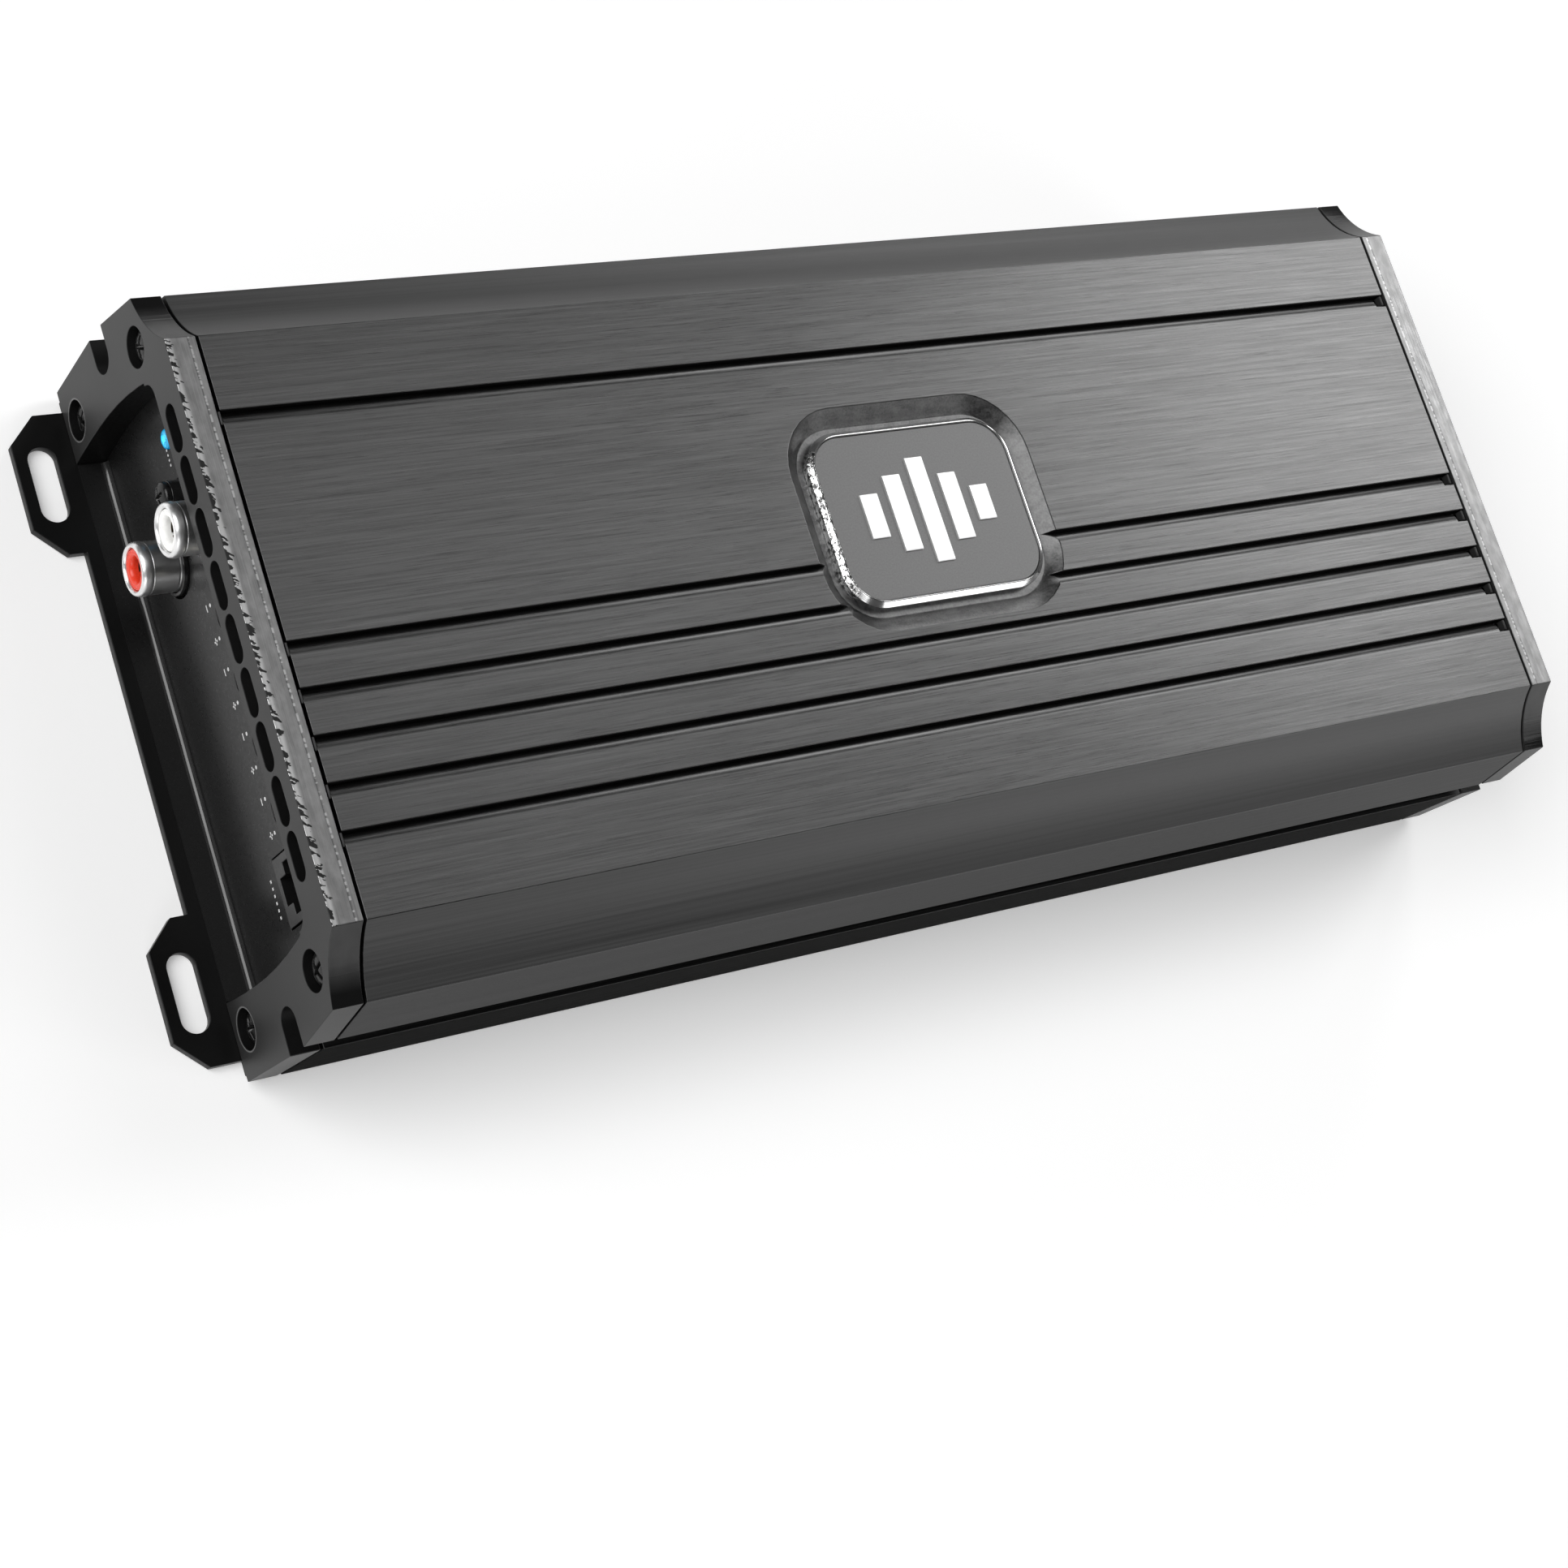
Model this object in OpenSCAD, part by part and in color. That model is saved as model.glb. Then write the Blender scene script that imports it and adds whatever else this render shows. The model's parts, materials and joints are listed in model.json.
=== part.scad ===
// Compact car audio amplifier: extruded heatsink body, two end frames with arched
// windows, recessed sheet panels, a slotted mounting plate and the electronics inside.
//
// Frame: X runs along the length with the input end at -X, Y runs across the body
// with the front at -Y, Z is up. The origin is the centre of the underside of the
// mounting plate. All sizes are in millimetres.

/* [Body] */
// overall length over the two end frames
body_length = 240; // [200:1:300]
// height of the flat top above the mounting surface
body_height = 44.3; // [38:0.1:60]
// half width of the flat top
top_half = 44.25; // [35:0.05:52]
// half width at the upper edge of the side wall
shoulder_half = 54.2; // [45:0.1:60]
// height of the upper edge of the side wall
shoulder_z = 37.0; // [30:0.1:42]
// greatest half width, at the lips of the side slot
lip_half = 56.15; // [50:0.05:65]
// half width at the bottom of the wall
foot_half = 55.55; // [50:0.05:65]
// hollow of the shoulder band below its straight chord
shoulder_sag = 1.2; // [0.4:0.1:2]

/* [Side slot] */
// lower lip of the side slot
slot_z0 = 18.9; // [14:0.1:24]
// upper lip of the side slot
slot_z1 = 24.2; // [20:0.1:30]
// half width left at the bottom of the side slot
slot_floor_half = 49.5; // [47:0.1:52]

/* [Inside of the heatsink] */
// half width of the hollow inside
cavity_half = 45.0; // [40:0.1:46]
// ceiling of the hollow inside
cavity_z = 40.6; // [36:0.1:42]

/* [Top grooves] */
// position across the body of the groove near the back
back_groove_y = 32.5; // [20:0.1:40]
// position of the first of the front grooves
front_groove_y = -3.0; // [-10:0.1:5]
// spacing of the front grooves
groove_pitch = 7.08; // [5:0.01:9]
// number of front grooves
front_grooves = 5; // [3:1:6]
// width of each ramped groove
groove_width = 2.25; // [1.5:0.05:4]
// depth of each ramped groove
groove_depth = 1.4; // [0.6:0.1:2]

/* [End frames] */
// thickness of an end frame along the body
frame_t = 4.8; // [3:0.1:8]
// shadow gap between an end frame and the heatsink
shadow_gap = 0.5; // [0.4:0.1:1.5]
// height of the lower edge of the frame beam
beam_z = 36.0; // [30:0.1:38]
// half width of the window at the mounting plate
window_foot_half = 43.4; // [38:0.1:46]
// half width of the window where it bulges most
window_mid_half = 44.1; // [38:0.1:46]
// half width of the window just below the beam
window_top_half = 42.2; // [36:0.1:46]
// number of oval vents in the beam
vent_count = 9; // [5:1:11]
// spacing of the vents
vent_pitch = 8.12; // [7:0.01:10]
// length of a vent across the body
vent_length = 7.3; // [5:0.1:8]
// height of a vent
vent_height = 3.4; // [2:0.1:4]
// height of the vent centres
vent_z = 39.3; // [38:0.1:41]

/* [End frame screws] */
// offset of the upper screws from the centre
upper_screw_y = 47.7; // [45:0.1:50]
// height of the upper screws
upper_screw_z = 34.1; // [30:0.1:36]
// offset of the lower screws from the centre
lower_screw_y = 48.7; // [45:0.1:50]
// height of the lower screws
lower_screw_z = 6.3; // [5:0.1:10]

/* [Mounting plate] */
// thickness of the steel plate
plate_t = 1.5; // [1:0.1:3]
// length the plate reaches beyond each end frame
plate_lip = 2.1; // [0:0.1:4]
// reach of a mounting tab beyond the end frame
tab_reach = 9.4; // [6:0.1:15]
// inner edge of a tab across the body
tab_y0 = 29.1; // [20:0.1:35]
// outer edge of a tab across the body
tab_y1 = 52.2; // [45:0.1:55]
// corner cut of a tab
tab_cut = 4.6; // [2:0.1:7]
// offset of a slot from the end frame face
slot_offset = 5.1; // [3:0.1:8]
// centre of a slot across the body
slot_y = 40.7; // [35:0.1:45]
// length of a slot
slot_length = 12.4; // [8:0.1:16]
// width of a slot
slot_width = 4.5; // [4:0.1:6]

/* [Badge] */
// length of the pocket in the top
pocket_x = 47.3; // [30:0.1:60]
// width of the pocket in the top
pocket_y = 38.4; // [20:0.1:50]
// depth of the pocket
pocket_depth = 1.8; // [1:0.1:2.4]
// centre of the pocket across the body
badge_y = 3.4; // [-5:0.1:10]
// length of the badge
badge_x = 39.9; // [25:0.1:50]
// width of the badge
badge_w = 30.1; // [15:0.1:40]
// height of the badge face above the floor of the pocket
badge_rise = 1.9; // [1:0.1:2]
// width of the bright rim round the badge
bezel_rim = 1; // [0.8:0.1:2]

/* [Input panel] */
// sheet thickness of both panels
panel_t = 1.2; // [0.8:0.1:2]
// position of the stacked signal sockets across the body
rca_y = 20.2; // [10:0.1:30]
// heights of the signal sockets
rca_z = [16.1, 31.2];
// outer diameter of a signal socket shell
rca_d = 8.3; // [8:0.05:9]
// reach of the signal sockets beyond the end frame
rca_reach = 2.1; // [0:0.1:5]
// radius of the hole that takes the centre pin of a plug
pin_hole_r = 1.85; // [1.7:0.01:2]
// position across the body of the screw beside the signal sockets
rca_screw_y = 27.7; // [27:0.1:28.5]
// height of the screw beside the signal sockets
rca_screw_z = 25.1; // [23:0.1:27]
// position of the power lamp across the body
led_y = 36.6; // [34:0.1:40]
// height of the power lamp
led_z = 25.2; // [20:0.1:30]
// position of the first adjuster across the body
pot_y = 7.9; // [0:0.1:15]
// spacing of the adjusters
pot_pitch = 10.05; // [9:0.05:13]
// height of the adjuster shafts
pot_z = 28.0; // [25:0.1:32]
// diameter of an adjuster shaft
pot_shaft_d = 4.8; // [3:0.1:6]
// centre of the remote control socket across the body
jack_y = -33.25; // [-38:0.05:-28]
// width of the remote control socket
jack_w = 10.4; // [9:0.1:14]
// lower edge of the remote control socket
jack_z = 20.6; // [18:0.1:24]
// height of the remote control socket
jack_h = 11.4; // [9:0.1:14]

/* [Terminals] */
// centre of the power terminal row across the body
power_y = 22; // [15:0.5:26]
// centre of the speaker terminal row across the body
speaker_y = -25; // [-30:0.5:-18]
// spacing of the terminals
terminal_pitch = 12; // [10:0.5:16]
// radius of a wire hole
wire_r = 3.6; // [2.5:0.1:4]
// height of the wire holes
wire_z = 15.5; // [13:0.1:18]
// distance of the clamp screws from the middle of the body
clamp_x = 123; // [122:0.5:126]
// radius of a clamp screw
clamp_r = 2.45; // [1.5:0.05:3]

/* [Electronics] */
// top of the main circuit board
board_z = 8.2; // [7:0.1:10]
// thickness of both circuit boards
board_t = 1.6; // [1:0.1:2]
// top of the raised preamplifier board
preamp_z = 19.6; // [18:0.1:21]
// positions of the power transistors along the body
transistor_x = [-72, -44, -16, 12, 40, 68];
// height of the lower edge of a transistor
transistor_z = 17; // [14:0.5:20]
// position of the transformer along the body
transformer_x = -56; // [-60:1:-52]
// inner radius of the transformer core
transformer_r0 = 8.5; // [7.5:0.1:10]
// outer radius of the transformer core
transformer_r1 = 17.5; // [14:0.1:18]
// position of the output coil along the body
coil_x = 66; // [64:1:70]
// position of the output coil across the body
coil_y = -8; // [-12:1:-6]
// inner radius of the output coil core
coil_r0 = 7; // [6:0.1:8]
// outer radius of the output coil core
coil_r1 = 14; // [12:0.1:15]

/* [Hidden] */
end_x = body_length / 2;
frame_x = end_x - frame_t;
sink_x = frame_x - shadow_gap;
panel_x = frame_x;
wall_z0 = plate_t + 0.1;
pocket_floor = body_height - pocket_depth;
fine = 64;

// circle that hollows the shoulder band between the top edge and the wall
chord_y = shoulder_half - top_half;
chord_z = body_height - shoulder_z;
chord = norm([chord_y, chord_z]);
sag_r = chord * chord / (8 * shoulder_sag) + shoulder_sag / 2;
sag_y = (top_half + shoulder_half) / 2 + (sag_r - shoulder_sag) * chord_z / chord;
sag_z = (body_height + shoulder_z) / 2 + (sag_r - shoulder_sag) * chord_y / chord;

// circle through the three given points of the window side
win_z0 = wall_z0;
win_z1 = 16;
win_z2 = 33.5;

groove_ys = concat([back_groove_y], [for (i = [0 : front_grooves - 1]) front_groove_y - i * groove_pitch]);
screw_yz = [
  [upper_screw_y, upper_screw_z], [-upper_screw_y, upper_screw_z],
  [lower_screw_y, lower_screw_z], [-lower_screw_y, lower_screw_z]
];
plate_screw_xy = [for (x = [-96, 0, 96], s = [-1, 1]) [x, s * 50.6]];
standoff_xy = [for (x = [-88, 0, 92], s = [-1, 1]) [x, s * 36]];
bar_screw_x = [-58, -2, 54];
pot_ys = [for (i = [0 : 3]) pot_y - i * pot_pitch];
power_ys = [for (i = [-1 : 1]) power_y + i * terminal_pitch];
speaker_ys = [for (s = [0.5, -0.5]) speaker_y + s * terminal_pitch];
capacitor_xy = [for (x = [-21, 0, 21], y = [-11, 11]) [x, y]];

// ---------------------------------------------------------------- helpers

// outline drawn in the YZ plane and pushed along X
module along_x(x0, x1) {
  translate([x0, 0, 0])
    rotate([90, 0, 90])
      linear_extrude(height = x1 - x0)
        children();
}

module rod_x(x0, x1, y, z, r) {
  translate([x0, y, z])
    rotate([0, 90, 0])
      cylinder(h = x1 - x0, r = r, $fn = fine);
}

module rod_y(y0, y1, x, z, r) {
  translate([x, y0, z])
    rotate([-90, 0, 0])
      cylinder(h = y1 - y0, r = r, $fn = fine);
}

module rod_z(z0, z1, x, y, r) {
  translate([x, y, z0])
    cylinder(h = z1 - z0, r = r, $fn = fine);
}

module block(x0, x1, y0, y1, z0, z1) {
  translate([x0, y0, z0])
    cube([x1 - x0, y1 - y0, z1 - z0]);
}

module rounded_rect(w, h, r) {
  square([w - 2 * r, h], center = true);
  square([w, h - 2 * r], center = true);
  for (sx = [-1, 1], sy = [-1, 1])
    translate([sx * (w / 2 - r), sy * (h / 2 - r)])
      circle(r = r, $fn = 32);
}

module stadium(w, h) {
  r = min(w, h) / 2;
  square([w > h ? w - 2 * r : w, w > h ? h : h - 2 * r], center = true);
  for (s = [-1, 1])
    translate([w > h ? s * (w / 2 - r) : 0, w > h ? 0 : s * (h / 2 - r)])
      circle(r = r, $fn = 32);
}

// mirror copy about the XZ plane
module both_sides() {
  for (s = [0, 1])
    mirror([0, s, 0])
      children();
}

// mirror copy about the YZ plane for the output end
module at_output() {
  mirror([1, 0, 0])
    children();
}

// ---------------------------------------------------------------- body

// cross-section shared by the heatsink and the end frames, shrunk by an inset
module body_outline(inset = 0) {
  difference() {
    polygon([
      for (s = [1, -1], i = [0 : 4])
        let (k = s > 0 ? i : 4 - i)
        [
          s * ([foot_half, lip_half, lip_half, shoulder_half, top_half][k] - inset * (k == 4 ? 0.4 : 1)),
          [wall_z0, slot_z0, slot_z1, shoulder_z, body_height][k] - (k == 4 ? inset : k == 3 ? inset / 2 : 0)
        ]
    ]);
    both_sides_2d() {
      translate([sag_y, sag_z])
        circle(r = sag_r + inset, $fn = 128);
      side_slot_outline();
    }
  }
}

module both_sides_2d() {
  for (s = [0, 1])
    mirror([s, 0])
      children();
}

module side_slot_outline() {
  r = (slot_z1 - slot_z0) / 2;
  translate([slot_floor_half + r, slot_z0 + r])
    circle(r = r, $fn = fine);
  translate([slot_floor_half + r, slot_z0])
    square([20, 2 * r]);
}

// a groove has an upright back wall and a ramp that flattens as it rises to the front
module groove_outline(y) {
  steps = 6;
  polygon(concat(
    [[y - groove_width, body_height + 1], [y, body_height + 1]],
    [for (i = [0 : steps])
      [y - groove_width * i / steps, body_height - groove_depth * pow(1 - i / steps, 2)]]
  ));
}

module badge_pocket() {
  hull() {
    translate([0, badge_y, pocket_floor])
      linear_extrude(height = 0.01)
        rounded_rect(badge_x + 2.4, badge_w + 2.4, 8);
    translate([0, badge_y, body_height + 0.01])
      linear_extrude(height = 0.5)
        rounded_rect(pocket_x, pocket_y, 11);
  }
}

module heatsink() {
  color("#3a3b3d")
    difference() {
      along_x(-sink_x, sink_x)
        difference() {
          body_outline();
          translate([-cavity_half, 0])
            square([2 * cavity_half, cavity_z - 3]);
          translate([-cavity_half + 3, 0])
            square([2 * cavity_half - 6, cavity_z]);
          both_sides_2d()
            translate([cavity_half - 3, cavity_z - 3])
              circle(r = 3, $fn = fine);
          for (y = groove_ys)
            groove_outline(y);
        }
      badge_pocket();
      for (y = groove_ys)
        block(sink_x - 2.3, sink_x + 1, y - groove_width, y, body_height - 1.8, body_height + 1);
      for (p = screw_yz, s = [-1, 1])
        rod_x(s > 0 ? sink_x - 11 : -sink_x - 1, s > 0 ? sink_x + 1 : 11 - sink_x, p[0], p[1], 1.3);
      for (p = plate_screw_xy)
        rod_z(0, 11, p[0], p[1], 1.3);
      for (x = bar_screw_x, s = [-1, 1])
        rod_y(min(s * 44, s * 51), max(s * 44, s * 51), x, transistor_z + 9.5, 1.3);
    }
}

module tab_outline() {
  difference() {
    polygon([
      [end_x, tab_y0],
      [end_x + tab_reach - tab_cut, tab_y0],
      [end_x + tab_reach, tab_y0 + tab_cut],
      [end_x + tab_reach, tab_y1 - tab_cut],
      [end_x + tab_reach - tab_cut, tab_y1],
      [end_x, tab_y1]
    ]);
    translate([end_x + slot_offset, slot_y])
      stadium(slot_width, slot_length);
  }
}

module mounting_plate() {
  color("#151516")
    difference() {
      linear_extrude(height = plate_t) {
        square([2 * (end_x + plate_lip), 2 * tab_y1], center = true);
        square([2 * (end_x - 0.5), 2 * (tab_y1 + 2.2)], center = true);
        for (sx = [0, 1], sy = [0, 1])
          mirror([sx, 0])
            mirror([0, sy])
              tab_outline();
      }
      for (p = plate_screw_xy) {
        rod_z(-1, 3, p[0], p[1], 1.7);
        translate([p[0], p[1], -0.01])
          cylinder(h = 1.2, r1 = 3.0, r2 = 1.7, $fn = fine);
      }
      for (p = standoff_xy)
        rod_z(-1, 3, p[0], p[1], 1.7);
    }
}

module plate_screws() {
  color("#1b1b1c")
    for (p = plate_screw_xy)
      difference() {
        union() {
          rod_z(0.9, 9.5, p[0], p[1], 1.25);
          translate([p[0], p[1], 0.05])
            cylinder(h = 1.1, r1 = 2.85, r2 = 1.55, $fn = fine);
        }
        block(p[0] - 1.6, p[0] + 1.6, p[1] - 0.3, p[1] + 0.3, 0, 0.8);
        block(p[0] - 0.3, p[0] + 0.3, p[1] - 1.6, p[1] + 1.6, 0, 0.8);
      }
}

// half width of the window at a height, a shallow bulge between foot and top
function window_half(z) =
  z <= win_z1
    ? window_mid_half - (window_mid_half - window_foot_half) * pow((win_z1 - z) / (win_z1 - win_z0), 2)
    : window_mid_half - (window_mid_half - window_top_half) * pow((z - win_z1) / (win_z2 - win_z1), 2);

module window_outline() {
  corner_r = 2.6;
  difference() {
    polygon(concat(
      [for (i = [0 : 8]) let (z = win_z0 - 1 + i * (beam_z - win_z0 + 1) / 8) [window_half(z), z]],
      [for (i = [8 : -1 : 0]) let (z = win_z0 - 1 + i * (beam_z - win_z0 + 1) / 8) [-window_half(z), z]]
    ));
    both_sides_2d()
      difference() {
        translate([window_top_half - corner_r - 0.5, beam_z - corner_r])
          square([10, 10]);
        translate([window_top_half - corner_r - 0.5, beam_z - corner_r])
          circle(r = corner_r, $fn = fine);
      }
  }
}

module end_frame() {
  difference() {
    union() {
      along_x(-end_x, -frame_x)
        difference() {
          body_outline();
          window_outline();
        }
      along_x(-frame_x - 0.01, -sink_x)
        difference() {
          body_outline(1.6);
          translate([-cavity_half - 0.2, 0])
            square([2 * cavity_half + 0.4, cavity_z + 0.6]);
        }
    }
    for (i = [0 : vent_count - 1])
      along_x(-end_x - 1, -sink_x + 1)
        translate([(i - (vent_count - 1) / 2) * vent_pitch, vent_z])
          stadium(vent_length, vent_height);
    for (p = screw_yz) {
      rod_x(-end_x - 1, -sink_x + 1, p[0], p[1], 1.65);
      rod_x(-end_x - 1, -end_x + 2.7, p[0], p[1], 3.1);
    }
  }
}

module input_frame() {
  color("#2b2b2c") {
    end_frame();
    for (y = groove_ys)
      block(-frame_x - 0.1, -sink_x, y - groove_width, y - 0.15, body_height - 1.3, body_height - 0.03);
  }
}

// the far frame hooks into a notch at the end of every groove
module output_frame() {
  color("#2b2b2c")
    at_output() {
      end_frame();
      for (y = groove_ys) {
        front = y - groove_width + 0.2;
        back = y - 0.2;
        block(-frame_x - 0.1, -sink_x + 0.8, front, back, body_height - 1.6, body_height - 1.1);
        block(-sink_x + 0.3, -sink_x + 0.8, front, back, body_height - 1.6, body_height - 0.1);
      }
    }
}

module pan_screw_x(x, y, z, head_r, head_h, shank_r, length) {
  difference() {
    union() {
      rod_x(x, x + head_h, y, z, head_r);
      rod_x(x + head_h - 0.1, x + head_h + length, y, z, shank_r);
    }
    block(x - 1, x + head_h * 0.6, y - head_r * 0.62, y + head_r * 0.62, z - 0.35, z + 0.35);
    block(x - 1, x + head_h * 0.6, y - 0.35, y + 0.35, z - head_r * 0.62, z + head_r * 0.62);
  }
}

module input_frame_screws() {
  color("#202021")
    for (p = screw_yz)
      pan_screw_x(-end_x + 0.5, p[0], p[1], 2.75, 2.15, 1.25, 12);
}

module output_frame_screws() {
  at_output()
    input_frame_screws();
}

// ---------------------------------------------------------------- badge

module badge_base() {
  color("#4a4b4d")
    translate([0, badge_y, pocket_floor])
      linear_extrude(height = badge_rise)
        rounded_rect(badge_x - 2 * bezel_rim - 0.1, badge_w - 2 * bezel_rim - 0.1, 6.75 - bezel_rim);
}

module badge_bezel() {
  color("#c9cbcd")
    difference() {
      hull() {
        translate([0, badge_y, pocket_floor])
          linear_extrude(height = 0.75)
            rounded_rect(badge_x, badge_w, 6.8);
        translate([0, badge_y, pocket_floor])
          linear_extrude(height = 2.3)
            rounded_rect(badge_x - 1.4, badge_w - 1.4, 6.1);
      }
      translate([0, badge_y, pocket_floor - 1])
        linear_extrude(height = 5)
          rounded_rect(badge_x - 2 * bezel_rim, badge_w - 2 * bezel_rim, 6.8 - bezel_rim);
    }
}

// plain row of level bars standing on the badge
module badge_emblem() {
  heights = [7.5, 13, 18, 11.5, 6];
  color("#e4e5e6")
    for (i = [0 : 4])
      translate([(i - 2) * 5.4, badge_y, pocket_floor + badge_rise])
        linear_extrude(height = 0.35)
          square([3.4, heights[i]], center = true);
}

// ---------------------------------------------------------------- input end

module panel_blank() {
  half = cavity_half - 0.3;
  z0 = plate_t + 0.05;
  block(-panel_x, -panel_x + panel_t, -half, half, z0, 37.2);
  block(-panel_x, -panel_x + 8, -half, half, z0, z0 + panel_t);
}

module input_panel() {
  color("#161617")
    difference() {
      panel_blank();
      for (z = rca_z)
        rod_x(-panel_x - 1, -panel_x + 3, rca_y, z, 5.15);
      rod_x(-panel_x - 1, -panel_x + 3, rca_screw_y, rca_screw_z, 2.6);
      for (y = pot_ys)
        rod_x(-panel_x - 1, -panel_x + 3, y, pot_z, 2.9);
      block(-panel_x - 1, -panel_x + 3, jack_y - jack_w / 2 - 0.25, jack_y + jack_w / 2 + 0.25,
            jack_z - 0.25, jack_z + jack_h + 0.25);
      rod_x(-panel_x - 1, -panel_x + 3, led_y, led_z, 1.6);
    }
}

module rca_housing() {
  color("#101011")
    difference() {
      union() {
        block(-panel_x + panel_t + 0.3, -99, rca_y - 6.6, rca_y + 10.4, board_z, 38.4);
        for (z = rca_z)
          rod_x(-panel_x - 0.7, -panel_x + 2, rca_y, z, 4.75);
        rod_x(-panel_x - 2.4, -panel_x + 2, rca_screw_y, rca_screw_z, 2.3);
      }
      for (z = rca_z)
        rod_x(-panel_x - 3, -104, rca_y, z, rca_d / 2);
      rod_x(-panel_x - 3, -104, rca_screw_y, rca_screw_z, 0.95);
    }
}

module rca_shells() {
  color("#c8cacc")
    for (z = rca_z)
      difference() {
        rod_x(-end_x - rca_reach, -105, rca_y, z, rca_d / 2 - 0.02);
        rod_x(-end_x - rca_reach - 1, -104, rca_y, z, 3.2);
      }
}

module rca_insert(z) {
  difference() {
    rod_x(-end_x - rca_reach + 0.3, -105, rca_y, z, 3.18);
    rod_x(-end_x - rca_reach - 1, -107, rca_y, z, pin_hole_r);
  }
}

module rca_insert_white() {
  color("#f0f0ee")
    rca_insert(rca_z[1]);
}

module rca_insert_red() {
  color("#e0301c")
    rca_insert(rca_z[0]);
}

// thin spring sleeves that grip the centre pin of a plug
module rca_contacts() {
  color("#b79a4a")
    for (z = rca_z)
      difference() {
        rod_x(-115, -107, rca_y, z, pin_hole_r - 0.03);
        rod_x(-116, -106, rca_y, z, pin_hole_r - 0.2);
      }
}

module rca_screw() {
  color("#1d1d1e")
    pan_screw_x(-panel_x - 3.9, rca_screw_y, rca_screw_z, 2.25, 1.5, 0.9, 7);
}

module power_led() {
  color("#35c8ff") {
    rod_x(-panel_x - 0.5, -110.5, led_y, led_z, 1.5);
    block(-112.4, -110.5, led_y - 1.3, led_y + 1.3, board_z, led_z + 1.8);
  }
}

module remote_jack() {
  x0 = -panel_x - 0.2;
  x1 = -101.5;
  color("#242425")
    difference() {
      union() {
        block(x0, x1, jack_y - jack_w / 2, jack_y + jack_w / 2, jack_z, jack_z + jack_h);
        block(-113.4, x1, jack_y - jack_w / 2, jack_y + jack_w / 2, preamp_z, jack_z + 0.1);
      }
      block(x0 - 1, x1 - 2, jack_y - 3.9, jack_y + 3.9, jack_z + 3.2, jack_z + 9.9);
      block(x0 - 1, x1 - 5, jack_y - 2.1, jack_y + 2.1, jack_z + 1.0, jack_z + 4);
    }
}

// four flat springs along the roof of the socket
module remote_jack_contacts() {
  color("#c9a243")
    for (i = [0 : 3])
      translate([0, jack_y + (i - 1.5) * 1.27, 0])
        block(-113, -103.5, -0.25, 0.25, jack_z + 8.9, jack_z + 9.9);
}

module pot(y) {
  color("#1f4f7a")
    difference() {
      block(-panel_x + panel_t + 0.3, -106.4, y - 4.7, y + 4.7, preamp_z, pot_z + 5);
      rod_x(-panel_x, -109, y, pot_z, pot_shaft_d / 2 + 0.05);
    }
}

module pot_shaft(y) {
  x0 = -panel_x + 0.7;
  color("#e6e4dc")
    difference() {
      rod_x(x0, -109.1, y, pot_z, pot_shaft_d / 2);
      block(x0 - 1, x0 + 0.9, y - 0.4, y + 0.4, pot_z - 4, pot_z + 4);
    }
}

module gain_pot() { pot(pot_ys[0]); }
module bass_pot() { pot(pot_ys[1]); }
module subsonic_pot() { pot(pot_ys[2]); }
module lowpass_pot() { pot(pot_ys[3]); }

module gain_shaft() { pot_shaft(pot_ys[0]); }
module bass_shaft() { pot_shaft(pot_ys[1]); }
module subsonic_shaft() { pot_shaft(pot_ys[2]); }
module lowpass_shaft() { pot_shaft(pot_ys[3]); }

// ---------------------------------------------------------------- output end

module output_panel() {
  color("#161617")
    difference() {
      at_output()
        panel_blank();
      for (row = [power_ys, speaker_ys]) {
        margin = terminal_pitch / 2 + 0.7;
        block(panel_x - 3, panel_x + 1, min(row) - margin, max(row) + margin, board_z - 0.3, 25.5);
      }
    }
}

module terminal_housing(ys) {
  y0 = min(ys) - terminal_pitch / 2 - 0.4;
  y1 = max(ys) + terminal_pitch / 2 + 0.4;
  color("#131314")
    difference() {
      block(102, 128, y0, y1, board_z, 25.2);
      for (y = ys) {
        block(106, 126.5, y - 4.75, y + 4.75, wire_z - 5.8, wire_z + 6.8);
        rod_x(125, 130, y, wire_z, wire_r + 0.4);
        rod_z(20, 27, clamp_x, y, clamp_r + 0.35);
      }
    }
}

module terminal_clamps(ys) {
  color("#b9a566")
    for (y = ys)
      difference() {
        block(106.05, 126.45, y - 4.7, y + 4.7, wire_z - 5.75, wire_z + 6.75);
        rod_x(109, 130, y, wire_z, wire_r);
        rod_z(wire_z, 27, clamp_x, y, clamp_r + 0.05);
      }
}

module clamp_screw(y) {
  z0 = wire_z + wire_r + 0.2;
  z1 = 24.6;
  color("#9b9da0")
    difference() {
      rod_z(z0, z1, clamp_x, y, clamp_r);
      translate([clamp_x, y, z1 - 2.4])
        cylinder(h = 3, r = 1.45, $fn = 6);
    }
}

module power_terminal_housing() { terminal_housing(power_ys); }
module power_terminal_clamps() { terminal_clamps(power_ys); }
module speaker_terminal_housing() { terminal_housing(speaker_ys); }
module speaker_terminal_clamps() { terminal_clamps(speaker_ys); }

module battery_screw() { clamp_screw(power_ys[2]); }
module turn_on_screw() { clamp_screw(power_ys[1]); }
module ground_screw() { clamp_screw(power_ys[0]); }
module speaker_plus_screw() { clamp_screw(speaker_ys[0]); }
module speaker_minus_screw() { clamp_screw(speaker_ys[1]); }

// ---------------------------------------------------------------- electronics

module main_board() {
  color("#1c5a34")
    difference() {
      block(-112, 112, -44.4, 44.4, board_z - board_t, board_z);
      for (p = standoff_xy)
        rod_z(0, 20, p[0], p[1], 1.6);
    }
}

module preamp_board() {
  color("#1c5a34")
    block(-113.4, -84, -42, 12.8, preamp_z - board_t, preamp_z);
}

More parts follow.
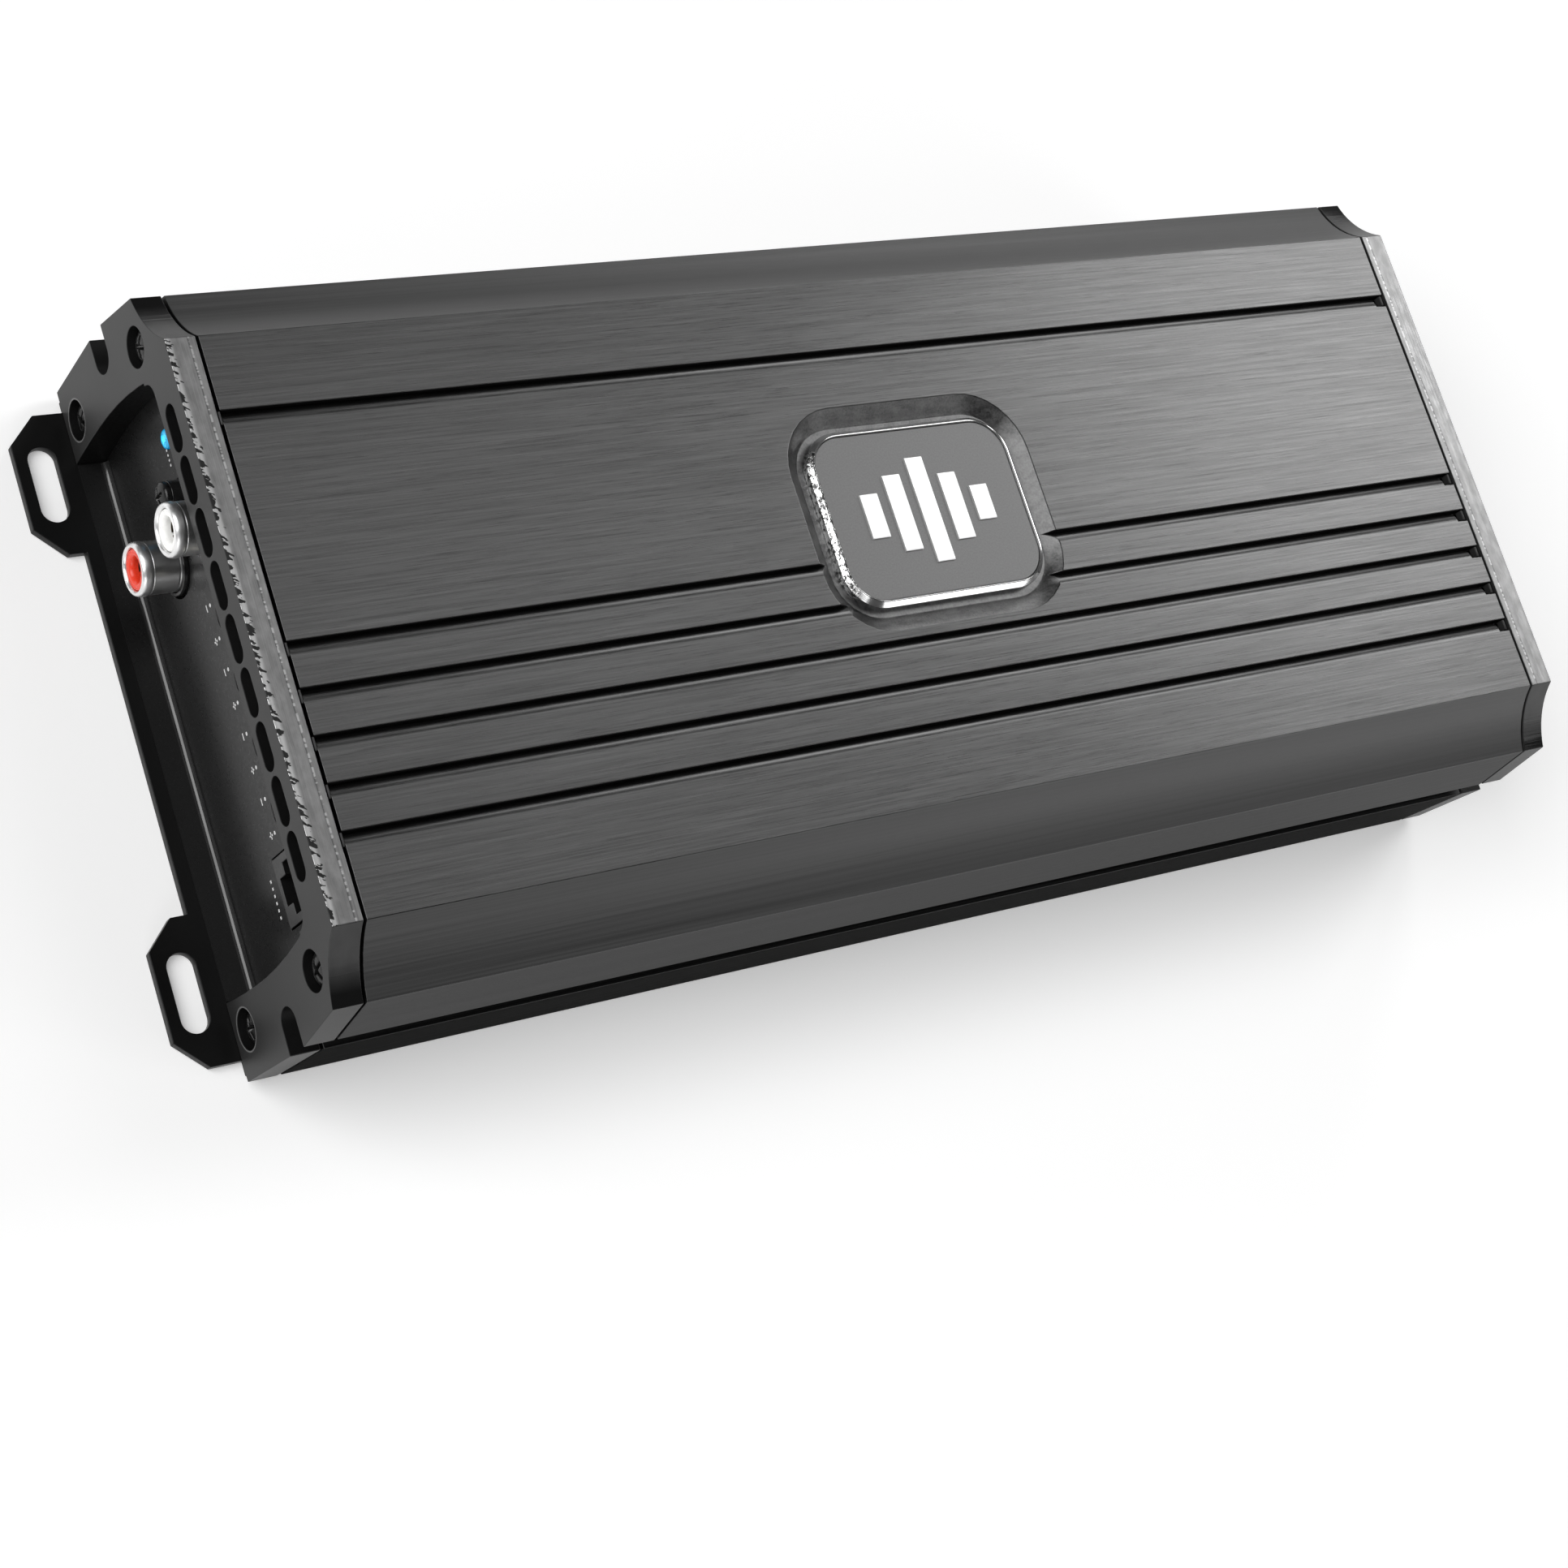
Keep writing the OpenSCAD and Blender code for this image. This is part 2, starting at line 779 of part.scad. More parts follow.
// row of pins that carries the preamplifier board
module board_header() {
  color("#141414")
    for (x = [-108, -87])
      block(x - 1.3, x + 1.3, -32, 8, board_z, preamp_z - board_t);
}

module standoffs() {
  color("#c2a653")
    for (p = standoff_xy)
      difference() {
        union() {
          translate([p[0], p[1], plate_t])
            cylinder(h = board_z - board_t - plate_t, r = 3, $fn = 6);
          rod_z(0.1, plate_t + 0.1, p[0], p[1], 1.65);
        }
        rod_z(2.2, 10, p[0], p[1], 1.3);
      }
}

module board_screws() {
  color("#b4b6b8")
    for (p = standoff_xy)
      difference() {
        union() {
          rod_z(board_z, board_z + 1.8, p[0], p[1], 2.7);
          rod_z(2.6, board_z + 0.1, p[0], p[1], 1.25);
        }
        block(p[0] - 1.7, p[0] + 1.7, p[1] - 0.35, p[1] + 0.35, board_z + 0.8, board_z + 3);
        block(p[0] - 0.35, p[0] + 0.35, p[1] - 1.7, p[1] + 1.7, board_z + 0.8, board_z + 3);
      }
}

module ring(x, y, z0, z1, r_in, r_out) {
  difference() {
    rod_z(z0, z1, x, y, r_out);
    rod_z(z0 - 1, z1 + 1, x, y, r_in);
  }
}

module transformer_core() {
  color("#5c6b4f")
    ring(transformer_x, 0, board_z + 2.4, board_z + 17.6, transformer_r0, transformer_r1);
}

module transformer_winding() {
  color("#a5622b")
    difference() {
      ring(transformer_x, 0, board_z, board_z + 20, transformer_r0 - 2.1, transformer_r1 + 2.3);
      ring(transformer_x, 0, board_z + 2.35, board_z + 17.65, transformer_r0 - 0.05, transformer_r1 + 0.05);
    }
}

module output_coil_core() {
  color("#7a7045")
    ring(coil_x, coil_y, board_z + 2.2, board_z + 13.8, coil_r0, coil_r1);
}

module output_coil_winding() {
  color("#a5622b")
    difference() {
      ring(coil_x, coil_y, board_z, board_z + 16, coil_r0 - 1.8, coil_r1 + 2);
      ring(coil_x, coil_y, board_z + 2.15, board_z + 13.85, coil_r0 - 0.05, coil_r1 + 0.05);
    }
}

module capacitors() {
  color("#26282b")
    for (p = capacitor_xy)
      rod_z(board_z, board_z + 25, p[0], p[1], 9);
}

module film_capacitors() {
  color("#a8392b")
    for (y = [14, 26])
      block(50, 68, y - 4, y + 4, board_z, board_z + 14);
}

module control_chips() {
  color("#181818") {
    block(40, 46, -4, 6, board_z, board_z + 1.6);
    block(-100, -92, -30, -24, preamp_z, preamp_z + 1.6);
    block(-100, -92, -10, -4, preamp_z, preamp_z + 1.6);
    block(-100, -92, 2, 8, preamp_z, preamp_z + 1.6);
  }
}

// six power transistors on their leads, pressed against the front wall
module transistors_front() {
  y = -cavity_half + 0.4;
  color("#1a1a1b")
    for (x = transistor_x) {
      block(x - 5, x + 5, y, y + 4.5, transistor_z, transistor_z + 15);
      for (k = [-1, 0, 1])
        block(x + k * 2.54 - 0.4, x + k * 2.54 + 0.4, y + 2.1, y + 2.7, board_z, transistor_z);
    }
}

module transistors_back() {
  mirror([0, 1, 0])
    transistors_front();
}

module thermal_pads() {
  color("#9fa7ad")
    both_sides()
      difference() {
        block(-80, 76, -cavity_half, -cavity_half + 0.4, transistor_z - 1, transistor_z + 16);
        for (x = bar_screw_x)
          rod_y(-cavity_half - 1, -cavity_half + 1, x, transistor_z + 9.5, 1.6);
      }
}

module clamp_bar_front() {
  y = -cavity_half + 4.9;
  color("#8d9094")
    difference() {
      block(-78, 74, y, y + 2.5, transistor_z + 5.5, transistor_z + 13.5);
      for (x = bar_screw_x)
        rod_y(y - 1, y + 4, x, transistor_z + 9.5, 1.6);
    }
}

module clamp_bar_back() {
  mirror([0, 1, 0])
    clamp_bar_front();
}

module clamp_bar_screws() {
  y = -cavity_half + 7.4;
  color("#b4b6b8")
    for (x = bar_screw_x)
      both_sides()
        difference() {
          union() {
            rod_y(y, y + 2, x, transistor_z + 9.5, 2.7);
            rod_y(-49, y + 0.1, x, transistor_z + 9.5, 1.25);
          }
          block(x - 1.7, x + 1.7, y + 0.9, y + 3, transistor_z + 9.15, transistor_z + 9.85);
        }
}

// ---------------------------------------------------------------- nodes

heatsink();
mounting_plate();
plate_screws();
input_frame();
output_frame();
input_frame_screws();
output_frame_screws();
badge_base();
badge_bezel();
badge_emblem();
input_panel();
rca_housing();
rca_shells();
rca_insert_white();
rca_insert_red();
rca_contacts();
rca_screw();
power_led();
remote_jack();
remote_jack_contacts();
gain_pot();
bass_pot();
subsonic_pot();
lowpass_pot();
gain_shaft();
bass_shaft();
subsonic_shaft();
lowpass_shaft();
output_panel();
power_terminal_housing();
power_terminal_clamps();
speaker_terminal_housing();
speaker_terminal_clamps();
battery_screw();
turn_on_screw();
ground_screw();
speaker_plus_screw();
speaker_minus_screw();
main_board();
preamp_board();
board_header();
standoffs();
board_screws();
transformer_core();
transformer_winding();
output_coil_core();
output_coil_winding();
capacitors();
film_capacitors();
control_chips();
transistors_front();
transistors_back();
thermal_pads();
clamp_bar_front();
clamp_bar_back();
clamp_bar_screws();
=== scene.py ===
"""Looks for the compact car amplifier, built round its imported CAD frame.

Lengths are millimetres in the CAD frame until a mesh is finished: X runs along the body with
the input end at -X, Y runs across it with the front at -Y, and Z is up from the mounting face.
"""

import json
import math

import bmesh
import bpy
from mathutils import Matrix, Vector


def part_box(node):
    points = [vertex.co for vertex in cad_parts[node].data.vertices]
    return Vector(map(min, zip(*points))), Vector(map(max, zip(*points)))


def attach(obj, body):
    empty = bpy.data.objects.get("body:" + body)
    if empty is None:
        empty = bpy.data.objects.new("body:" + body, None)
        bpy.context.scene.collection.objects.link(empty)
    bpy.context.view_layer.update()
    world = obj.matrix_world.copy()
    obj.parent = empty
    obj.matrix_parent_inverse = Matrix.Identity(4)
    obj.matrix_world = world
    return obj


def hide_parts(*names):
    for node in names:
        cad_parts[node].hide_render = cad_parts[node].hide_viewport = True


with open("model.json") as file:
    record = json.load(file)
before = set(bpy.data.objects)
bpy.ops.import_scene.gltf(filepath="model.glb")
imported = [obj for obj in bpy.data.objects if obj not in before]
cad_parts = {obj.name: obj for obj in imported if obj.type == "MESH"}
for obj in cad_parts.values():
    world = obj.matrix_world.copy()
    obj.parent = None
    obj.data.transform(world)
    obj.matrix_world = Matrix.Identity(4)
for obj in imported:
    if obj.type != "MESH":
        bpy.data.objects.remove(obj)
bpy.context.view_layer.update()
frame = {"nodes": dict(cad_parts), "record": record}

MM = 0.001
BODY_OF = {node: body for body, nodes in frame["record"]["behaviour"]["bodies"].items() for node in nodes}


def box_mm(node):
    """Lowest and highest corner of a CAD node in millimetres."""
    return [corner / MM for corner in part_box(node)]


def middle_mm(node):
    """Middle of a CAD node to the hundredth, as the facets of round forms put it slightly off."""
    low, high = box_mm(node)
    return Vector([round(length, 2) for length in (low + high) / 2])


# the places that several pieces share
PANEL_X = box_mm("input_panel")[0].x
TOP_Z = box_mm("heatsink")[1].z
POCKET_Z, BADGE_TOP = (corner.z for corner in box_mm("badge_base"))
BADGE_Y = middle_mm("badge_base").y
BOARD_Z = box_mm("main_board")[1].z
PREAMP_Z = box_mm("preamp_board")[1].z
SIGNALS = {colour: middle_mm("rca_insert_" + colour) for colour in ("red", "white")}
POTS = {name: middle_mm(name + "_shaft") for name in ("gain", "bass", "subsonic", "lowpass")}
LAMP_Y, LAMP_Z = middle_mm("power_led").y, box_mm("power_led")[1].z - 1.8
JACK_Y = middle_mm("remote_jack").y
# offset from the middle and height of the upper and the lower screws of an end frame
FRAME_SCREWS = ((47.7, 34.1), (48.7, 6.3))
INPUT, OUTPUT = Vector((-1, 0, 0)), Vector((1, 0, 0))


# ---------------------------------------------------------------- materials

class Look:
    """A Principled material whose inputs are fed by short chains of nodes."""

    def __init__(self, name, roughness, metallic=0.0, **constants):
        self.material = bpy.data.materials.new(name)
        self.material.use_nodes = True
        self.tree = self.material.node_tree
        self.shader = self.tree.nodes["Principled BSDF"]
        self.shader.inputs["Roughness"].default_value = roughness
        self.shader.inputs["Metallic"].default_value = metallic
        for setting, value in constants.items():
            self.shader.inputs[setting.replace("_", " ")].default_value = value
        self.place = self.tree.nodes.new("ShaderNodeTexCoord").outputs["Object"]

    def feed(self, socket, source):
        if isinstance(source, bpy.types.NodeSocket):
            self.tree.links.new(source, socket)
        else:
            socket.default_value = source

    def maths(self, operation, *sources):
        made = self.tree.nodes.new("ShaderNodeMath")
        made.operation = operation
        for socket, source in zip(made.inputs, sources):
            self.feed(socket, source)
        return made.outputs[0]

    def distance(self, values, middle):
        """How far the point given by two values lies from a middle point."""
        squares = [
            self.maths("POWER", self.maths("SUBTRACT", value, at), 2.0)
            for value, at in zip(values, middle)
        ]
        return self.maths("SQRT", self.maths("ADD", *squares))

    def line(self, value, middle, inner, outer):
        """1 where a value is within inner of the middle, fading to 0 at outer."""
        away = self.maths("ABSOLUTE", self.maths("SUBTRACT", value, middle))
        return self.span(away, inner, outer, 1.0, 0.0)

    def noise(self, pitch, detail=3.0, roughness=0.5, turn=0):
        """Noise with features of about pitch millimetres along each axis, turned about Z by degrees."""
        made = self.tree.nodes.new("ShaderNodeMapping")
        made.vector_type = "TEXTURE"
        made.inputs["Rotation"].default_value = (0, 0, math.radians(turn))
        made.inputs["Scale"].default_value = [p * MM for p in pitch]
        self.feed(made.inputs["Vector"], self.place)
        texture = self.tree.nodes.new("ShaderNodeTexNoise")
        texture.inputs["Scale"].default_value = 1.0
        texture.inputs["Detail"].default_value = detail
        texture.inputs["Roughness"].default_value = roughness
        self.feed(texture.inputs["Vector"], made.outputs[0])
        return texture.outputs["Fac"]

    def axis(self, letter):
        """One coordinate of the surface point, in millimetres."""
        made = self.tree.nodes.new("ShaderNodeSeparateXYZ")
        self.feed(made.inputs[0], self.place)
        return self.maths("MULTIPLY", made.outputs["XYZ".index(letter)], 1 / MM)

    def span(self, value, low, high, to_low=0.0, to_high=1.0):
        """Clamped change of range."""
        made = self.tree.nodes.new("ShaderNodeMapRange")
        for socket, source in zip(made.inputs, (value, low, high, to_low, to_high)):
            self.feed(socket, source)
        return made.outputs[0]

    def blend(self, factor, first, second):
        """Colour between two colours or colour sockets."""
        made = self.tree.nodes.new("ShaderNodeMix")
        made.data_type = "RGBA"
        sockets = (made.inputs[0], made.inputs[6], made.inputs[7])
        for socket, source in zip(sockets, (factor, first, second)):
            self.feed(socket, source)
        return made.outputs[2]

    def paint(self, source):
        self.feed(self.shader.inputs["Base Color"], source)

    def roughen(self, source):
        self.feed(self.shader.inputs["Roughness"], source)

    def emboss(self, height, depth):
        """Bump of the given depth in millimetres."""
        made = self.tree.nodes.new("ShaderNodeBump")
        made.inputs["Strength"].default_value = 1.0
        made.inputs["Distance"].default_value = depth * MM
        self.feed(made.inputs["Height"], height)
        previous = self.shader.inputs["Normal"]
        if previous.is_linked:
            self.feed(made.inputs["Normal"], previous.links[0].from_socket)
        self.feed(previous, made.outputs[0])


def tone(level):
    """A neutral linear colour."""
    return (level, level, level, 1.0)


def scaled(colour, factor):
    return tuple(min(1.0, channel * factor) for channel in colour[:3]) + (1.0,)


def grained(name, colour, roughness, pitch, contrast, uneven, depth=0.0, **settings):
    """Finish with one grain.

    Contrast and uneven say how far it changes the colour and the roughness, and depth how far
    it lifts the surface in millimetres.
    """
    look = Look(name, roughness, **settings)
    grain = look.noise(pitch)
    dark, light = scaled(colour, 1 - contrast), scaled(colour, 1 + contrast)
    look.paint(look.blend(look.span(grain, 0.3, 0.7), dark, light))
    look.roughen(look.span(grain, 0.25, 0.75, roughness - uneven, roughness + uneven))
    if depth:
        look.emboss(grain, depth)
    return look


def brushed_anodising(name, lift=1.0):
    """Dark anodised aluminium, brushed along the body, with fine streaks and short dark scratches. A lift
    above 1 paints it lighter.
    """
    look = Look(name, 0.42, metallic=1.0)
    hair = look.noise((9, 0.14, 0.14), detail=3.0, roughness=0.7)
    streak = look.noise((22, 0.34, 0.34), detail=3.0, roughness=0.6)
    drift = look.noise((40, 9, 9), detail=1.0)
    mixed = look.maths("ADD", look.maths("MULTIPLY", hair, 0.5), look.maths("MULTIPLY", streak, 0.5))
    # lift scales the colour: above 1 it is painted light
    base = look.blend(look.span(mixed, 0.36, 0.64), tone(0.055 * lift), tone(0.098 * lift))
    scratch = look.span(look.noise((7, 0.2, 0.2), detail=2.0), 0.63, 0.7)
    base = look.blend(look.maths("MULTIPLY", scratch, 0.45), base, tone(0.032))
    look.paint(look.blend(look.span(drift, 0.35, 0.65, 0.0, 0.12), base, tone(0.05)))
    look.roughen(look.span(hair, 0.3, 0.7, 0.25, 0.37))
    look.emboss(hair, 0.006)
    return look


def anodised_wall(name, low, high, tint, roughness=0.4):
    """The unbrushed flanks, with faint drawing lines from the extrusion die."""
    look = Look(name, roughness, metallic=1.0, Specular_Tint=tone(tint))
    lines = look.noise((90, 0.5, 0.35), detail=3.0)
    look.paint(look.blend(look.span(lines, 0.3, 0.7), tone(low), tone(high)))
    look.roughen(look.span(lines, 0.3, 0.7, roughness - 0.06, roughness + 0.06))
    look.emboss(lines, 0.004)
    return look


def milled_pocket():
    """The blasted, milled wall round the badge, mottled by the cutter."""
    look = Look("milled_pocket", 0.5, metallic=1.0)
    grit = look.noise((0.35, 0.35, 0.35), detail=4.0, roughness=0.7)
    mottle = look.noise((2.6, 1.4, 1.4), detail=3.0, roughness=0.6)
    both = look.maths("ADD", look.maths("MULTIPLY", grit, 0.5), look.maths("MULTIPLY", mottle, 0.5))
    look.paint(look.blend(look.span(both, 0.38, 0.62), tone(0.085), tone(0.185)))
    look.roughen(look.span(both, 0.35, 0.65, 0.34, 0.5))
    look.emboss(grit, 0.02)
    return look


def coated_casting():
    """Smooth dark grey coat on the end frames, rubbed bright in a ring round the lower screws."""
    look = Look("coated_casting", 0.42, Specular_IOR_Level=0.22)
    cloud = look.noise((14, 14, 14), detail=2.0)
    fleck = look.noise((0.25, 0.25, 0.25), detail=3.0, roughness=0.7)
    mixed = look.maths("ADD", look.maths("MULTIPLY", cloud, 0.6), look.maths("MULTIPLY", fleck, 0.4))
    coat = look.blend(look.span(mixed, 0.35, 0.65), tone(0.02), tone(0.03))
    away = look.distance((look.maths("ABSOLUTE", look.axis("Y")), look.axis("Z")), FRAME_SCREWS[1])
    rub = look.line(away, 3.3, 0.08, 0.16)
    look.paint(look.blend(look.maths("MULTIPLY", rub, 0.8), coat, tone(0.16)))
    look.roughen(look.span(mixed, 0.3, 0.7, 0.36, 0.48))
    look.emboss(fleck, 0.006)
    return look


def milled_strip():
    """Bare top strip of an end frame: cutter lines, a torn coat edge outside, a beaded seam inside."""
    look = Look("milled_strip", 0.42, metallic=1.0)
    bead_x, seam_x, torn_x, clean_x, coat_x = 116.3, 116.45, 118.7, 120.4, 120.9
    reach = look.maths("ABSOLUTE", look.axis("X"))
    lines = look.noise((0.22, 30, 1.0), detail=3.0)
    smear = look.noise((1.3, 2.6, 1.0), detail=3.0)
    base = look.blend(look.span(lines, 0.3, 0.7), tone(0.15), tone(0.22))
    base = look.blend(look.span(smear, 0.38, 0.66, 0.0, 0.5), base, tone(0.3))

    seam = look.line(reach, seam_x, 0.05, 0.16)
    bead = look.span(look.noise((2.0, 0.5, 1.0), detail=1.0), 0.46, 0.54)
    base = look.blend(look.maths("MULTIPLY", seam, 0.6), base, tone(0.05))
    beads = look.line(reach, bead_x, 0.08, 0.24)
    base = look.blend(look.maths("MULTIPLY", look.maths("MULTIPLY", beads, bead), 0.8), base, tone(0.45))

    leaf = look.noise((1.5, 0.62, 1.0), detail=2.0, roughness=0.55, turn=-32)
    fringe = look.maths("ADD", leaf, look.span(reach, torn_x, coat_x, 0.16, -0.16))
    worn_end = look.span(look.axis("X"), -1.0, 1.0, 1.0, 0.0)
    limit = look.maths("SUBTRACT", clean_x, look.maths("MULTIPLY", worn_end, 1.6))
    clean = look.maths("LESS_THAN", reach, limit)
    torn = look.maths("MAXIMUM", look.maths("MULTIPLY", look.span(fringe, 0.49, 0.52), worn_end), clean)
    chip = look.maths("MULTIPLY", torn, look.span(reach, torn_x + 0.2, torn_x + 0.8))
    chip = look.maths("MULTIPLY", chip, worn_end)
    base = look.blend(look.maths("MULTIPLY", chip, 0.85), base, tone(0.46))
    look.paint(look.blend(torn, tone(0.03), base))
    look.roughen(look.span(lines, 0.3, 0.7, 0.36, 0.5))
    look.emboss(look.maths("ADD", lines, look.maths("MULTIPLY", chip, 2.0)), 0.012)
    return look


def tooled_shoulder():
    """Shoulder of an end frame: coat that turns glossy black low down, with chatter marks there."""
    look = Look("tooled_shoulder", 0.25, Specular_IOR_Level=0.22)
    height = look.axis("Z")
    comb = look.noise((20, 20, 0.28), detail=2.0)
    patch = look.line(height, 38.2, 0.9, 1.6)
    cloud = look.noise((3, 5, 5), detail=3.0)
    grey = look.blend(look.span(cloud, 0.3, 0.7), tone(0.042), tone(0.056))
    look.paint(look.blend(look.span(height, 37.6, 39.6), tone(0.006), grey))
    look.roughen(look.span(height, 37.6, 40.0, 0.16, 0.4))
    look.emboss(look.maths("MULTIPLY", comb, patch), 0.07)
    return look


def powder_coat(name, level, roughness, gloss):
    """Satin black coat with the fine orange peel of powder."""
    look = Look(name, roughness, Specular_IOR_Level=gloss)
    peel = look.noise((0.55, 0.55, 0.55), detail=2.0)
    cloud = look.noise((22, 22, 22), detail=2.0)
    look.paint(look.blend(look.span(cloud, 0.3, 0.7), tone(level * 0.8), tone(level * 1.25)))
    look.roughen(look.span(peel, 0.3, 0.7, roughness - 0.04, roughness + 0.06))
    look.emboss(peel, 0.005)
    return look


def polished(name, colour, roughness, smear=0.05):
    """Bright plated metal with faint polishing haze."""
    look = Look(name, roughness, metallic=1.0)
    haze = look.noise((1.8, 1.8, 1.8), detail=4.0, roughness=0.6)
    look.paint(look.blend(haze, scaled(colour, 0.9), colour))
    look.roughen(look.span(haze, 0.35, 0.7, roughness, roughness + smear))
    return look


def rough_chrome():
    """Plated bezel along its worn side: pitted chrome that throws dark and bright specks."""
    look = Look("rough_chrome", 0.1, metallic=1.0)
    pits = look.noise((0.6, 0.8, 0.6), detail=4.0, roughness=0.75)
    look.paint(look.blend(look.span(pits, 0.44, 0.52), tone(0.08), tone(0.95)))
    look.roughen(look.span(pits, 0.3, 0.7, 0.08, 0.24))
    look.emboss(pits, 0.14)
    return look


def satin_face():
    """Mid grey satin face of the badge."""
    look = Look("satin_face", 0.45, metallic=0.7)
    fine = look.noise((0.3, 0.3, 0.3), detail=3.0)
    look.paint(look.blend(look.span(fine, 0.3, 0.7), tone(0.125), tone(0.16)))
    look.roughen(look.span(fine, 0.3, 0.7, 0.42, 0.5))
    look.emboss(fine, 0.003)
    return look


def moulded(name, colour, roughness):
    """Moulded plastic with a fine, nearly even skin."""
    look = Look(name, roughness)
    skin = look.noise((0.4, 0.4, 0.4), detail=3.0)
    flow = look.noise((5, 5, 5), detail=2.0)
    look.paint(look.blend(look.span(flow, 0.3, 0.7), scaled(colour, 0.88), scaled(colour, 1.06)))
    look.roughen(look.span(skin, 0.3, 0.7, roughness - 0.05, roughness + 0.07))
    look.emboss(skin, 0.004)
    return look


def lit_lens():
    """Cyan indicator, brightest in the middle of its lens."""
    look = Look("lit_lens", 0.2, Emission_Strength=1.6)
    away = look.distance((look.axis("Y"), look.axis("Z")), (LAMP_Y, LAMP_Z))
    spark = look.noise((0.35, 0.35, 0.35), detail=2.0)
    spread = look.maths("ADD", away, look.span(spark, 0.35, 0.65, -0.35, 0.35))
    glow = look.blend(look.span(spread, 0.1, 0.95), (0.06, 0.68, 1.0, 1.0), (0.0, 0.07, 0.16, 1.0))
    look.paint((0.02, 0.3, 0.5, 1.0))
    look.feed(look.shader.inputs["Emission Color"], glow)
    return look


def solder_mask():
    """Green circuit board with a faint pattern of copper tracks under the lacquer."""
    look = Look("solder_mask", 0.3, Coat_Weight=0.3)
    tracks = look.tree.nodes.new("ShaderNodeTexBrick")
    tracks.inputs["Scale"].default_value = 120.0
    tracks.inputs["Mortar Size"].default_value = 0.03
    tracks.inputs["Color1"].default_value = (0.006, 0.05, 0.022, 1)
    tracks.inputs["Color2"].default_value = (0.008, 0.062, 0.027, 1)
    tracks.inputs["Mortar"].default_value = (0.02, 0.13, 0.05, 1)
    look.feed(tracks.inputs["Vector"], look.place)
    look.paint(tracks.outputs["Color"])
    look.roughen(look.span(look.noise((3, 3, 3)), 0.3, 0.7, 0.24, 0.38))
    return look


def striped_sleeve():
    """Shrink sleeve of the capacitors, with a lighter polarity stripe down one side of each."""
    look = Look("striped_sleeve", 0.32)
    half_pitch = 10.5
    ripple = look.noise((1.5, 1.5, 6))
    sleeve = look.blend(look.span(ripple, 0.3, 0.7), (0.012, 0.014, 0.02, 1), (0.022, 0.025, 0.034, 1))
    across = look.maths("PINGPONG", look.maths("ADD", look.axis("X"), half_pitch), half_pitch)
    stripe = look.span(across, 7.6, 7.8)
    look.paint(look.blend(stripe, (0.3, 0.31, 0.33, 1), sleeve))
    look.roughen(look.span(ripple, 0.3, 0.7, 0.25, 0.38))
    look.emboss(ripple, 0.01)
    return look


